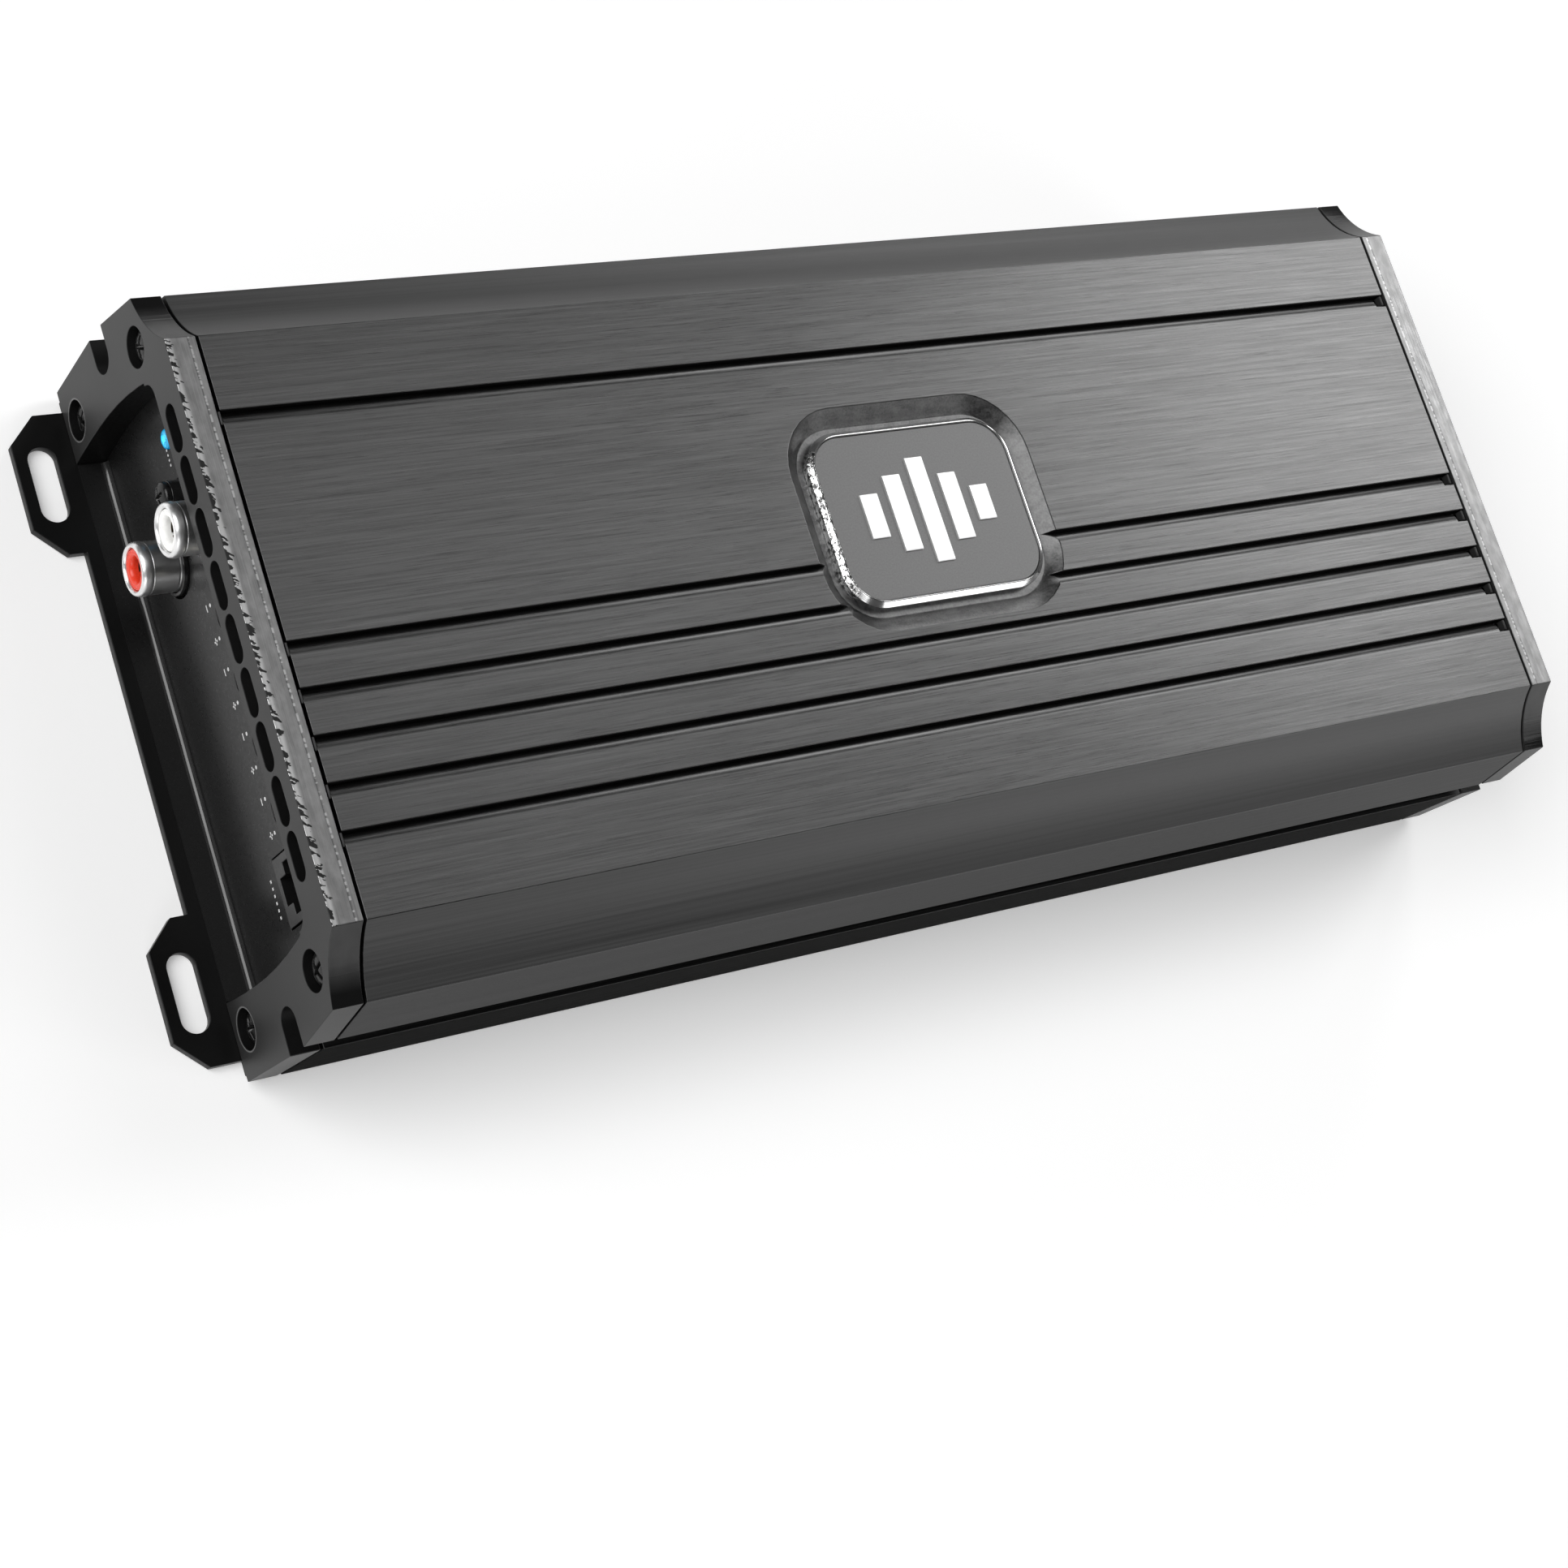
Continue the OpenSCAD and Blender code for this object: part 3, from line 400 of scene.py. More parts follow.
LOOKS = {
    "sink": brushed_anodising("brushed_anodising"),
    # groove ramps: the brushed finish painted 1.3 times lighter, painted light
    "ramp": brushed_anodising("brushed_ramp_painted_lighter", 1.3),
    "wall": anodised_wall("anodised_wall", 0.06, 0.09, 0.55),
    # shoulder band: the wall finish painted lighter, with full specular tint, a painted lit copy
    "band": anodised_wall("anodised_band_painted_lighter", 0.075, 0.105, 1.0, 0.5),
    # lower wall: the wall finish painted darker, with no specular tint to hide the floor's reflection:
    # painted shade
    "low_wall": anodised_wall("anodised_low_wall_painted_shade", 0.05, 0.08, 0.0),
    "pocket": milled_pocket(),
    "coat": coated_casting(),
    # near black coat for faces in recesses, gaps and bores: painted shade
    "painted_shade_coat": powder_coat("recess_painted_shade_coat", 0.006, 0.4, 0.12),
    "strip": milled_strip(),
    "shoulder": tooled_shoulder(),
    "plate": powder_coat("plate_coat", 0.006, 0.32, 0.16),
    "panel": powder_coat("panel_coat", 0.008, 0.3, 0.3),
    # cove of the panel's fold: real gloss, and the coat painted lighter and metallic, a painted highlight
    "foot": grained("foot_gloss_and_painted_highlight", tone(0.05), 0.16, (0.6, 6, 0.6), 0.2, 0.04, metallic=0.6),
    "screw": grained("black_oxide", tone(0.035), 0.3, (0.5, 0.5, 0.5), 0.3, 0.08, 0.006, metallic=0.8),
    "bezel": rough_chrome(),
    "chrome": polished("chrome_rim", tone(0.92), 0.16),
    "socket_rim": polished("socket_rim", tone(0.95), 0.34),
    "nickel": polished("barrel_nickel", tone(0.72), 0.3),
    "badge": satin_face(),
    "emblem": polished("bright_emblem", tone(0.95), 0.38, 0.08),
    "black": moulded("black_moulding", tone(0.011), 0.36),
    "gloss": moulded("gloss_moulding", tone(0.009), 0.18),
    "jack": moulded("jack_moulding", tone(0.03), 0.4),
    "white": moulded("white_moulding", (0.93, 0.93, 0.91, 1), 0.3),
    "red": moulded("red_moulding", (0.78, 0.05, 0.02, 1), 0.3),
    "print": moulded("printed_marks", (0.6, 0.6, 0.6, 1), 0.5),
    "gold": grained("gold_plate", (0.83, 0.58, 0.22, 1), 0.22, (1, 1, 1), 0.1, 0.05, metallic=1.0),
    # socket pin contacts: gold painted dark brown, painted shade for the depth of the holes
    "contact": grained("painted_shade_contact", (0.1, 0.075, 0.045, 1), 0.35, (0.6, 0.6, 0.6), 0.15, 0.05,
                       metallic=1.0),
    "brass": grained("terminal_brass", (0.72, 0.52, 0.25, 1), 0.3, (0.3, 2, 2), 0.16, 0.08, 0.006,
                     metallic=1.0),
    "steel": grained("bright_steel", tone(0.5), 0.28, (0.8, 0.8, 0.3), 0.14, 0.08, 0.004, metallic=1.0),
    "lens": lit_lens(),
    "pot": moulded("pot_moulding", (0.02, 0.12, 0.34, 1), 0.35),
    "rotor": moulded("rotor_moulding", (0.74, 0.72, 0.64, 1), 0.42),
    "board": solder_mask(),
    "copper": grained("copper_turns", (0.72, 0.27, 0.1, 1), 0.28, (3, 3, 0.6), 0.18, 0.06,
                      metallic=0.9, Coat_Weight=0.5),
    "ferrite": grained("ferrite_coat", (0.1, 0.16, 0.075, 1), 0.45, (1.2, 1.2, 1.2), 0.15, 0.08, 0.02),
    "powder_core": grained("powder_core", (0.55, 0.4, 0.06, 1), 0.45, (1.2, 1.2, 1.2), 0.12, 0.08, 0.02),
    "sleeve": striped_sleeve(),
    "can": grained("can_top", tone(0.6), 0.3, (0.5, 0.5, 0.5), 0.08, 0.06, metallic=1.0),
    "film": grained("film_dip", (0.45, 0.05, 0.03, 1), 0.25, (2, 2, 2), 0.1, 0.06, 0.02),
    "chip": grained("chip_epoxy", tone(0.02), 0.55, (0.4, 0.4, 0.4), 0.25, 0.08, 0.008),
    "pad": grained("silicone_pad", (0.42, 0.46, 0.5, 1), 0.6, (0.5, 0.5, 0.5), 0.08, 0.05, 0.01),
    "tin": grained("tinned_leads", tone(0.62), 0.3, (0.6, 0.6, 0.6), 0.1, 0.06, metallic=1.0),
}


# ---------------------------------------------------------------- mesh helpers

def facing(origin, axis):
    """Matrix that puts local Z along an axis at a point."""
    return Matrix.Translation(origin) @ Vector(axis).to_track_quat("Z", "Y").to_matrix().to_4x4()


def bridge(bm, lower, upper):
    """Faces between two rings of the same count, or between a ring and a single point."""
    count = max(len(lower), len(upper))
    for i in range(count):
        j = (i + 1) % count
        below = [lower[k % len(lower)] for k in (i, j)]
        above = [upper[k % len(upper)] for k in (j, i)]
        bm.faces.new(dict.fromkeys(below + above))


def lathe(bm, profile, matrix, steps, closed=False):
    """Turns (radius, height) points about local Z. A radius of zero closes the form."""
    rings = []
    for radius, height in profile:
        count = steps if radius else 1
        turn = [2 * math.pi * i / count for i in range(count)]
        rings.append([
            bm.verts.new(matrix @ Vector((radius * math.cos(a), radius * math.sin(a), height)))
            for a in turn
        ])
    for lower, upper in zip(rings, rings[1:] + (rings[:1] if closed else [])):
        bridge(bm, lower, upper)


def loft(bm, outlines, closed=False):
    """Skin over point loops of the same count, capped at both ends or closed into a ring."""
    rings = [[bm.verts.new(p) for p in outline] for outline in outlines]
    for lower, upper in zip(rings, rings[1:] + (rings[:1] if closed else [])):
        bridge(bm, lower, upper)
    if not closed:
        bm.faces.new(rings[0])
        bm.faces.new(rings[-1])


def rounded_outline(width, depth, radius, steps):
    """Points round a rectangle centred on the origin, with steps along each of its corners."""
    points = []
    for quarter, (sx, sy) in enumerate(((1, 1), (-1, 1), (-1, -1), (1, -1))):
        for i in range(steps + 1):
            angle = math.pi / 2 * (quarter + i / steps)
            points.append((
                sx * (width / 2 - radius) + radius * math.cos(angle),
                sy * (depth / 2 - radius) + radius * math.sin(angle),
            ))
    return points


def tube(bm, path, radius, sides=8, closed=False):
    """Round wire along a path, with its cross-section carried along without twist."""
    path = [Vector(p) for p in path]
    count = len(path)
    tangents = []
    for i in range(count):
        ahead = path[(i + 1) % count] if closed or i < count - 1 else path[i]
        behind = path[i - 1] if closed or i else path[i]
        tangents.append((ahead - behind).normalized())
    across = tangents[0].orthogonal().normalized()
    turn = [2 * math.pi * k / sides for k in range(sides)]
    rings = []
    for i, (point, tangent) in enumerate(zip(path, tangents)):
        if i:
            across = tangents[i - 1].rotation_difference(tangent) @ across
        other = tangent.cross(across)
        rings.append([
            bm.verts.new(point + radius * (math.cos(a) * across + math.sin(a) * other))
            for a in turn
        ])
    for lower, upper in zip(rings, rings[1:] + (rings[:1] if closed else [])):
        bridge(bm, lower, upper)
    if not closed:
        bm.faces.new(rings[0])
        bm.faces.new(rings[-1])


def block(bm, low, high, radius=0.0, segments=2):
    """Box between two corners with rounded edges."""
    low, high = Vector(low), Vector(high)
    matrix = Matrix.Translation((low + high) / 2) @ Matrix.Diagonal((high - low).to_4d())
    made = bmesh.ops.create_cube(bm, size=1.0, matrix=matrix)["verts"]
    if radius:
        edges = {edge for vert in made for edge in vert.link_edges}
        bmesh.ops.bevel(bm, geom=list(edges), offset=radius, segments=segments, profile=0.5,
                        affect="EDGES")


def carve(bm, cutter):
    """Takes one closed form out of another."""
    objects = []
    for name, source in (("carved", bm), ("cutter", cutter)):
        bmesh.ops.recalc_face_normals(source, faces=source.faces)
        mesh = bpy.data.meshes.new(name)
        source.to_mesh(mesh)
        objects.append(bpy.data.objects.new(name, mesh))
        bpy.context.scene.collection.objects.link(objects[-1])
    modifier = objects[0].modifiers.new("cut", "BOOLEAN")
    modifier.operation = "DIFFERENCE"
    modifier.object = objects[1]
    graph = bpy.context.evaluated_depsgraph_get()
    result = bpy.data.meshes.new_from_object(objects[0].evaluated_get(graph))
    bm.clear()
    bm.from_mesh(result)
    for obj in objects:
        bpy.data.objects.remove(obj)
    cutter.free()


def round_edges(bm, width, segments=2, angle=28.0):
    """Rounds the edges that are sharper than an angle in degrees."""
    edges = [
        edge for edge in bm.edges
        if edge.is_manifold and edge.calc_face_angle() > math.radians(angle)
    ]
    bmesh.ops.bevel(bm, geom=edges, offset=width, segments=segments, profile=0.5, affect="EDGES",
                    clamp_overlap=False)


def add_piece(name, bm, body, slot, looks, *stands_for, pick=None, sharp=50.0):
    """Finishes a mesh as a piece that rides on a body and stands for CAD nodes.

    pick(face) chooses one of the looks. Edges sharper than sharp, in degrees, stay crisp.
    """
    bmesh.ops.recalc_face_normals(bm, faces=bm.faces)
    looks = [looks] if isinstance(looks, str) else looks
    if pick:
        for face in bm.faces:
            face.material_index = pick(face)
    bmesh.ops.scale(bm, vec=Vector((MM, MM, MM)), verts=bm.verts)
    mesh = bpy.data.meshes.new(name)
    bm.to_mesh(mesh)
    bm.free()
    for layer in [a for a in mesh.attributes if a.name == "custom_normal"]:
        mesh.attributes.remove(layer)
    mesh.shade_smooth()
    mesh.set_sharp_from_angle(angle=math.radians(sharp))
    for look in looks:
        mesh.materials.append(LOOKS[look].material)
    obj = bpy.data.objects.new(name, mesh)
    bpy.context.scene.collection.objects.link(obj)
    even = obj.modifiers.new("even_shading", "WEIGHTED_NORMAL")
    even.keep_sharp = True
    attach(obj, body)
    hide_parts(*stands_for)


def node_mesh(node):
    """The clean form of a CAD node in millimetres, with flat faces whole again."""
    bm = bmesh.new()
    bm.from_mesh(frame["nodes"][node].data)
    for face in bm.faces:
        face.material_index = 0
    bmesh.ops.scale(bm, vec=Vector((1 / MM,) * 3), verts=bm.verts)
    bmesh.ops.remove_doubles(bm, verts=bm.verts, dist=0.001)
    bmesh.ops.dissolve_limit(bm, angle_limit=math.radians(0.4), verts=bm.verts, edges=bm.edges)
    return bm


def soften(node, width, slot, looks, pick=None):
    """A CAD node with its sharp edges slightly rounded, as a piece that stands for it."""
    bm = node_mesh(node)
    round_edges(bm, width)
    add_piece("soft_" + node, bm, BODY_OF[node], slot, looks, node, pick=pick)


# ---------------------------------------------------------------- body

def heatsink():
    looks = ["sink", "wall", "pocket", "low_wall", "ramp", "band"]
    pocket_x, pocket_y, groove_y, flat_y = 24.0, 19.5, 40.0, 43.6
    slot_z, shoulder_z, groove_z, below_top = 22.0, 36.5, 42.6, TOP_Z - 0.12

    def pick(face):
        at, up = face.calc_center_median(), face.normal.z
        in_pocket = abs(at.x) < pocket_x and abs(at.y - BADGE_Y) < pocket_y
        if in_pocket and up > 0.1 and POCKET_Z - 0.3 < at.z < below_top:
            return looks.index("pocket")
        # ramps and shoulder band take copies of the finish painted lighter, faces below the slot one
        # painted darker: painted light and shade
        if 0.4 < up < 0.93 and abs(at.y) < groove_y and groove_z < at.z < below_top:
            return looks.index("ramp")
        if up > 0.3 and at.z > shoulder_z:
            return looks.index("band" if abs(at.y) > flat_y and at.z < TOP_Z - 0.3 else "sink")
        return looks.index("wall" if at.z > slot_z else "low_wall")

    soften("heatsink", 0.12, "sink", looks, pick)


def end_frames():
    looks = ["coat", "strip", "shoulder", "painted_shade_coat"]
    flat_y, flank_y, shoulder_z = 43.0, 54.5, 36.5

    def pick(face):
        at, normal = face.calc_center_median(), face.normal
        if normal.z > 0.9 and at.z > TOP_Z - 0.2 and abs(at.x) > abs(PANEL_X):
            return looks.index("strip")
        if abs(normal.x) > 0.5 or at.z > TOP_Z - 0.3:
            return looks.index("coat")
        if abs(at.y) > flat_y and at.z > shoulder_z:
            return looks.index("shoulder")
        # faces within the frame's outer flanks, in its bores and round its land: painted shade
        return looks.index("coat" if abs(at.y) > flank_y else "painted_shade_coat")

    for node in ("input_frame", "output_frame"):
        soften(node, 0.14, "frame", looks, pick)


def phillips_screw(bm, matrix, head_r, head_h, shank_r, length):
    """Pan head screw with a tapered cross recess. Local Z points out of the head."""
    tilts = [math.radians(degrees) for degrees in (18, 36, 54, 70, 84)]
    dome = [(head_r * math.sin(a), head_h * (0.45 + 0.55 * math.cos(a))) for a in tilts]
    profile = [(0, head_h)] + dome + [(head_r, head_h * 0.35), (head_r, 0.12), (head_r - 0.12, 0.0)]
    profile += [(shank_r, 0.0), (shank_r, -length), (0, -length)]
    made = bmesh.new()
    lathe(made, profile, Matrix.Identity(4), 48)
    arm, half = head_r * 0.62, head_r * 0.13
    top = [(-arm, -half), (arm, -half), (arm, half), (-arm, half)]
    levels = ((1, 1, head_h + 0.3), (1, 1, head_h * 0.8), (0.45, 0.6, head_h * 0.25))
    for turn in (0, 1):
        cutter = bmesh.new()
        loft(cutter, [
            [Vector((x * along, y * across, z)) for x, y in top]
            for along, across, z in levels
        ])
        bmesh.ops.rotate(cutter, verts=cutter.verts, matrix=Matrix.Rotation(turn * math.pi / 2, 3, "Z"))
        carve(made, cutter)
    round_edges(made, 0.05, segments=1, angle=40)
    bmesh.ops.transform(made, matrix=matrix, verts=made.verts)
    mesh = bpy.data.meshes.new("screw")
    made.to_mesh(mesh)
    made.free()
    bm.from_mesh(mesh)
    bpy.data.meshes.remove(mesh)


def frame_screws():
    seat_x = 117.35
    spots = [(y * side, z) for y, z in FRAME_SCREWS for side in (-1, 1)]
    for node, end in (("input_frame_screws", -1), ("output_frame_screws", 1)):
        bm = bmesh.new()
        for i, (y, z) in enumerate(spots):
            turn = Matrix.Rotation(math.radians(25 + 34 * i), 4, "Z")
            matrix = facing((end * seat_x, y, z), (end, 0, 0)) @ turn
            phillips_screw(bm, matrix, head_r=2.72, head_h=2.1, shank_r=1.24, length=11.9)
        add_piece(node.replace("frame", "end"), bm, "case", "dark_screw", "screw", node)


def mounting_plate():
    soften("mounting_plate", 0.14, "plate", "plate")
    soften("plate_screws", 0.06, "dark_screw", "screw")


# ---------------------------------------------------------------- badge

def badge():
    low, high = box_mm("badge_bezel")
    radius = 6.8

    def outline(inset, z):
        width, depth = high.x - low.x - 2 * inset, high.y - low.y - 2 * inset
        points = rounded_outline(width, depth, radius - inset, 14)
        return [Vector((x, y + BADGE_Y, POCKET_Z + z)) for x, y in points]

    bm = bmesh.new()
    section = [(0.05, 0.0), (0.0, 0.08), (0.0, 1.22), (0.04, 1.34), (0.7, 2.02), (0.73, 2.15),
               (0.75, 2.26), (0.78, 2.3), (0.81, 2.29), (1.02, 2.09), (1.02, 0.0)]
    loft(bm, [outline(inset, z) for inset, z in section], closed=True)
    worn_x = -18.0
    add_piece("badge_rim", bm, "case", "bright_trim", ["bezel", "chrome"], "badge_bezel",
              pick=lambda face: 0 if face.calc_center_median().x < worn_x else 1, sharp=60)

    bm = bmesh.new()
    rise = BADGE_TOP - POCKET_Z
    plate = [(1.07, 0.0), (1.07, rise - 0.12), (1.11, rise - 0.04), (1.19, rise)]
    loft(bm, [outline(inset, z) for inset, z in plate])
    add_piece("badge_plate", bm, "case", "badge_face", "badge", "badge_base")

    bm = bmesh.new()
    pitch = 5.4
    for i, height in enumerate((7.5, 13.0, 18.0, 11.5, 6.0)):
        level_bar(bm, (i - 2) * pitch, height)
    add_piece("badge_levels", bm, "case", "bright_trim", "emblem", "badge_emblem", sharp=25)


def level_bar(bm, x, height):
    """One raised bar with fine machined lines across its face."""
    base, top, half = BADGE_TOP, BADGE_TOP + 0.34, 1.7
    lines = int(height / 0.42)
    pitch = (height - 0.3) / lines
    edge = [(-height / 2, base), (-height / 2, top - 0.06)]
    for i in range(lines):
        start = -height / 2 + 0.15 + i * pitch
        edge += [(start, top - 0.03), (start + pitch * 0.75, top), (start + pitch * 0.98, top - 0.05)]
    edge += [(height / 2, top - 0.06), (height / 2, base)]
    sides = [[Vector((x + s * half, y + BADGE_Y, z)) for y, z in edge] for s in (-1, 1)]
    loft(bm, sides)


# ---------------------------------------------------------------- input end

def input_panel():
    bm = node_mesh("input_panel")
    round_edges(bm, 0.1, angle=40)
    panel_foot(bm, INPUT)
    add_piece("input_plate", bm, "case", "panel", ["panel", "foot"], "input_panel", pick=on_foot)


def on_foot(face):
    """1 for the faces of a panel's cove, apart from its two ends; these take the look with the painted
    highlight.
    """
    at = face.calc_center_median()
    near_wall = abs(at.x) < abs(PANEL_X) + 1.4
    return 1 if at.z < 3.0 and near_wall and abs(face.normal.y) < 0.5 else 0


def panel_foot(bm, end):
    """Glossy cove where a panel is folded outwards on to the mounting plate."""
    radius, reach, half, bottom, sheet = 1.0, 4.6, 43.2, 1.52, 0.16
    wall, top = abs(PANEL_X), bottom + sheet
    arc = [math.radians(a) for a in range(0, 91, 9)]
    section = [(wall - 0.6, bottom), (wall - 0.6, bottom + radius)]
    section += [(wall + radius * (1 - math.cos(a)), top + radius * (1 - math.sin(a))) for a in arc]
    section += [(wall + reach, top), (wall + reach, bottom)]
    loft(bm, [[Vector((end.x * x, y, z)) for x, z in section] for y in (-half, half)])


def signal_sockets():
    """The two stacked sockets. Profile heights run outwards from the panel's outer face."""
    places = {colour: facing((PANEL_X, at.y, at.z), INPUT) for colour, at in SIGNALS.items()}
    rim_start = 5.08
    barrel = [(4.02, -8.0), (4.02, 0.6), (3.9, 0.75), (3.9, 1.0), (4.02, 1.15), (4.02, 4.85),
              (3.92, 4.95), (3.92, 5.05)]
    rim = [(4.03, 5.12), (4.13, 5.4), (4.14, 5.8), (4.09, 6.25), (3.96, 6.6), (3.76, 6.83),
           (3.58, 6.88), (3.4, 6.8), (3.27, 6.55), (3.22, 6.2)]
    bore = [(3.22, -8.0)]
    bm = bmesh.new()
    for matrix in places.values():
        lathe(bm, barrel + rim + bore, matrix, 72, closed=True)
    add_piece("signal_shells", bm, "case", "bright_trim", ["socket_rim", "nickel"], "rca_shells",
              pick=lambda face: 0 if face.calc_center_median().x < PANEL_X - rim_start else 1)

    outside = [(0, -8.4), (3.18, -8.4), (3.18, 5.95), (3.12, 6.3), (3.0, 6.46), (2.86, 6.5)]
    groove = [(2.74, 6.4), (2.66, 6.4), (2.54, 6.48), (2.3, 6.48)]
    hole = [(2.08, 6.3), (1.93, 6.0), (1.86, 5.6), (1.85, -7.9), (0, -8.0)]
    for colour, matrix in places.items():
        bm = bmesh.new()
        lathe(bm, outside + groove + hole, matrix, 64)
        add_piece("signal_core_" + colour, bm, "case", colour + "_plastic", colour, "rca_insert_" + colour)

    bm = bmesh.new()
    for matrix in places.values():
        for quarter in range(4):
            spring_leaf(bm, matrix, math.radians(90 * quarter + 8), math.radians(74))
    # the springs take the contact look: gold painted dark, painted shade inside the holes
    add_piece("signal_springs", bm, "case", "gold_contact", "contact", "rca_contacts")

    soften("rca_housing", 0.12, "black_plastic", "gloss")
    bm = bmesh.new()
    seat = middle_mm("rca_screw")
    seat.x = box_mm("rca_screw")[0].x + 1.5
    phillips_screw(bm, facing(seat, INPUT), head_r=2.22, head_h=1.45, shank_r=0.9, length=6.9)
    add_piece("signal_screw", bm, "case", "dark_screw", "screw", "rca_screw")


def spring_leaf(bm, matrix, start, sweep):
    """A quarter of the slit sleeve that grips a plug's pin."""
    steps = 8
    angles = [start + sweep * i / steps for i in range(steps + 1)]
    outlines = []
    for height, outer, inner in ((-8.0, 1.81, 1.66), (-4.0, 1.71, 1.56), (5.1, 1.81, 1.66)):
        outlines.append([
            matrix @ Vector((radius * math.cos(a), radius * math.sin(a), height))
            for radius, order in ((outer, angles), (inner, angles[::-1])) for a in order
        ])
    loft(bm, outlines)


def indicator():
    bm = bmesh.new()
    dome = [(0, -4.6), (1.5, -4.6), (1.5, 0.05), (1.42, 0.24), (1.15, 0.4), (0.7, 0.48), (0, 0.5)]
    lathe(bm, dome, facing((PANEL_X, LAMP_Y, LAMP_Z), INPUT), 40)
    block(bm, (PANEL_X + 2.8, LAMP_Y - 1.3, BOARD_Z), (PANEL_X + 4.7, LAMP_Y + 1.3, LAMP_Z + 1.8), 0.1)
    add_piece("indicator_lens", bm, "case", "led", "lens", "power_led")


def remote_socket():
    face_x = PANEL_X + 0.3
    # faces behind the jack's front face are painted near black: painted shade inside its slot
    soften("remote_jack", 0.14, "black_plastic", ["jack", "painted_shade_coat"],
           lambda face: 1 if face.calc_center_median().x > face_x else 0)
    bm = bmesh.new()
    contact_pitch = 1.27
    for i in range(4):
        y = JACK_Y + (i - 1.5) * contact_pitch
        tube(bm, [(-103.7, y, 30.2), (-111.5, y, 30.2), (-112.6, y, 29.95), (-112.75, y, 29.75)], 0.22)
    add_piece("remote_springs", bm, "case", "gold_contact", "gold", "remote_jack_contacts")


def adjusters():
    face_x, slot_half, slot_reach, slot_bottom = PANEL_X + 0.7, 0.4, 3.0, 0.9
    for name, at in POTS.items():
        soften(name + "_pot", 0.25, "pot_blue", "pot")
        bm = bmesh.new()
        lathe(bm, [(0, -5.35), (2.38, -5.35), (2.38, -0.12), (2.26, 0.0), (0, 0.0)],
              facing((face_x, at.y, at.z), INPUT), 48)
        cutter = bmesh.new()
        block(cutter, (face_x - 0.5, at.y - slot_half, at.z - slot_reach),
              (face_x + slot_bottom, at.y + slot_half, at.z + slot_reach))
        carve(bm, cutter)
        round_edges(bm, 0.05, segments=1, angle=40)
        add_piece(name + "_rotor", bm, name + "_shaft_body", "pot_rotor", "rotor", name + "_shaft")


def panel_marks():
    """Plain printed end marks under each adjuster, and rows of dots by the lamp and the jack."""
    bm = bmesh.new()
    reach, dot_z, bar_z = 2.6, 24.0, 22.6
    dot = [(0, -0.01), (0.3, -0.01), (0.3, 0.02), (0, 0.02)]
    for at in POTS.values():
        for y in (at.y - reach, at.y + reach):
            lathe(bm, dot, facing((PANEL_X, y, dot_z), INPUT), 16)
            mark_bar(bm, y, bar_z, 1.1, 0.28)
        mark_bar(bm, at.y - reach, bar_z, 0.28, 1.1)
    rows = ((4, LAMP_Y - 2.6, LAMP_Z - 1.0, 0.8, 0.36), (6, JACK_Y, 18.1, 1.1, 0.45))
    for count, y, z, pitch, size in rows:
        for i in range(count):
            mark_bar(bm, y + (i - (count - 1) / 2) * pitch, z, size, size)
    add_piece("panel_marks", bm, "case", "white_plastic", "print")


def mark_bar(bm, y, z, width, height):
    """Printed bar on the input panel."""
    y0, z0 = y - width / 2, z - height / 2
    block(bm, (PANEL_X - 0.02, y0, z0), (PANEL_X + 0.01, y0 + width, z0 + height))


# ---------------------------------------------------------------- output end

def output_end():
    bm = node_mesh("output_panel")
    round_edges(bm, 0.1, angle=40)
    panel_foot(bm, OUTPUT)
    add_piece("output_plate", bm, "case", "panel", ["panel", "foot"], "output_panel", pick=on_foot)
    for row in ("power", "speaker"):
        soften(row + "_terminal_housing", 0.35, "black_plastic", "black")
        soften(row + "_terminal_clamps", 0.15, "terminal_metal", "brass")
    for name in ("battery", "turn_on", "ground", "speaker_plus", "speaker_minus"):
        clamp_screw(name + "_screw")


def clamp_screw(node):
    """Grub screw with a hexagon socket and a cut thread."""
    low, high = box_mm(node)
    bottom, top, radius = low.z, high.z, (high.x - low.x) / 2
    middle = middle_mm(node)
    matrix = Matrix.Translation((middle.x, middle.y, 0))
    profile = [(0, bottom), (1.6, bottom), (1.95, bottom + 0.3)]
    z = bottom + 0.5
    while z < top - 1.2:
        profile += [(radius, z), (radius, z + 0.1), (2.12, z + 0.35), (2.12, z + 0.4)]
        z += 0.7
    profile += [(radius, top - 0.75), (radius, top - 0.2), (radius - 0.2, top), (0, top)]
    bm = bmesh.new()
    lathe(bm, profile, matrix, 48)
    cutter = bmesh.new()
    socket = [(0, top - 2.4), (1.35, top - 2.2), (1.45, top - 1.9), (1.45, top + 0.4), (0, top + 0.4)]
    lathe(cutter, socket, matrix, 6)
    carve(bm, cutter)
    round_edges(bm, 0.04, segments=1, angle=70)
    add_piece("clamp_" + node, bm, node + "_body", "steel", "steel", node, sharp=40)


# ---------------------------------------------------------------- electronics

def boards():
    for node in ("main_board", "preamp_board"):
        soften(node, 0.06, "board", "board")
    soften("standoffs", 0.12, "standoff_brass", "brass")
    soften("board_screws", 0.12, "steel", "steel")
    bm = bmesh.new()
    strip_z, pitch, half = 14.9, 2.54, 0.32
    for x in (-108, -87):
        block(bm, (x - pitch / 2, -32, strip_z), (x + pitch / 2, 8, 18.0), 0.15)
        for i in range(15):
            y = -29.8 + i * pitch
            block(bm, (x - half, y - half, BOARD_Z), (x + half, y + half, strip_z + 0.2), 0.08)
    add_piece("header_pins", bm, "case", "black_plastic", ["black", "tin"], "board_header",
              pick=lambda face: 0 if face.calc_center_median().z > strip_z - 0.01 else 1)


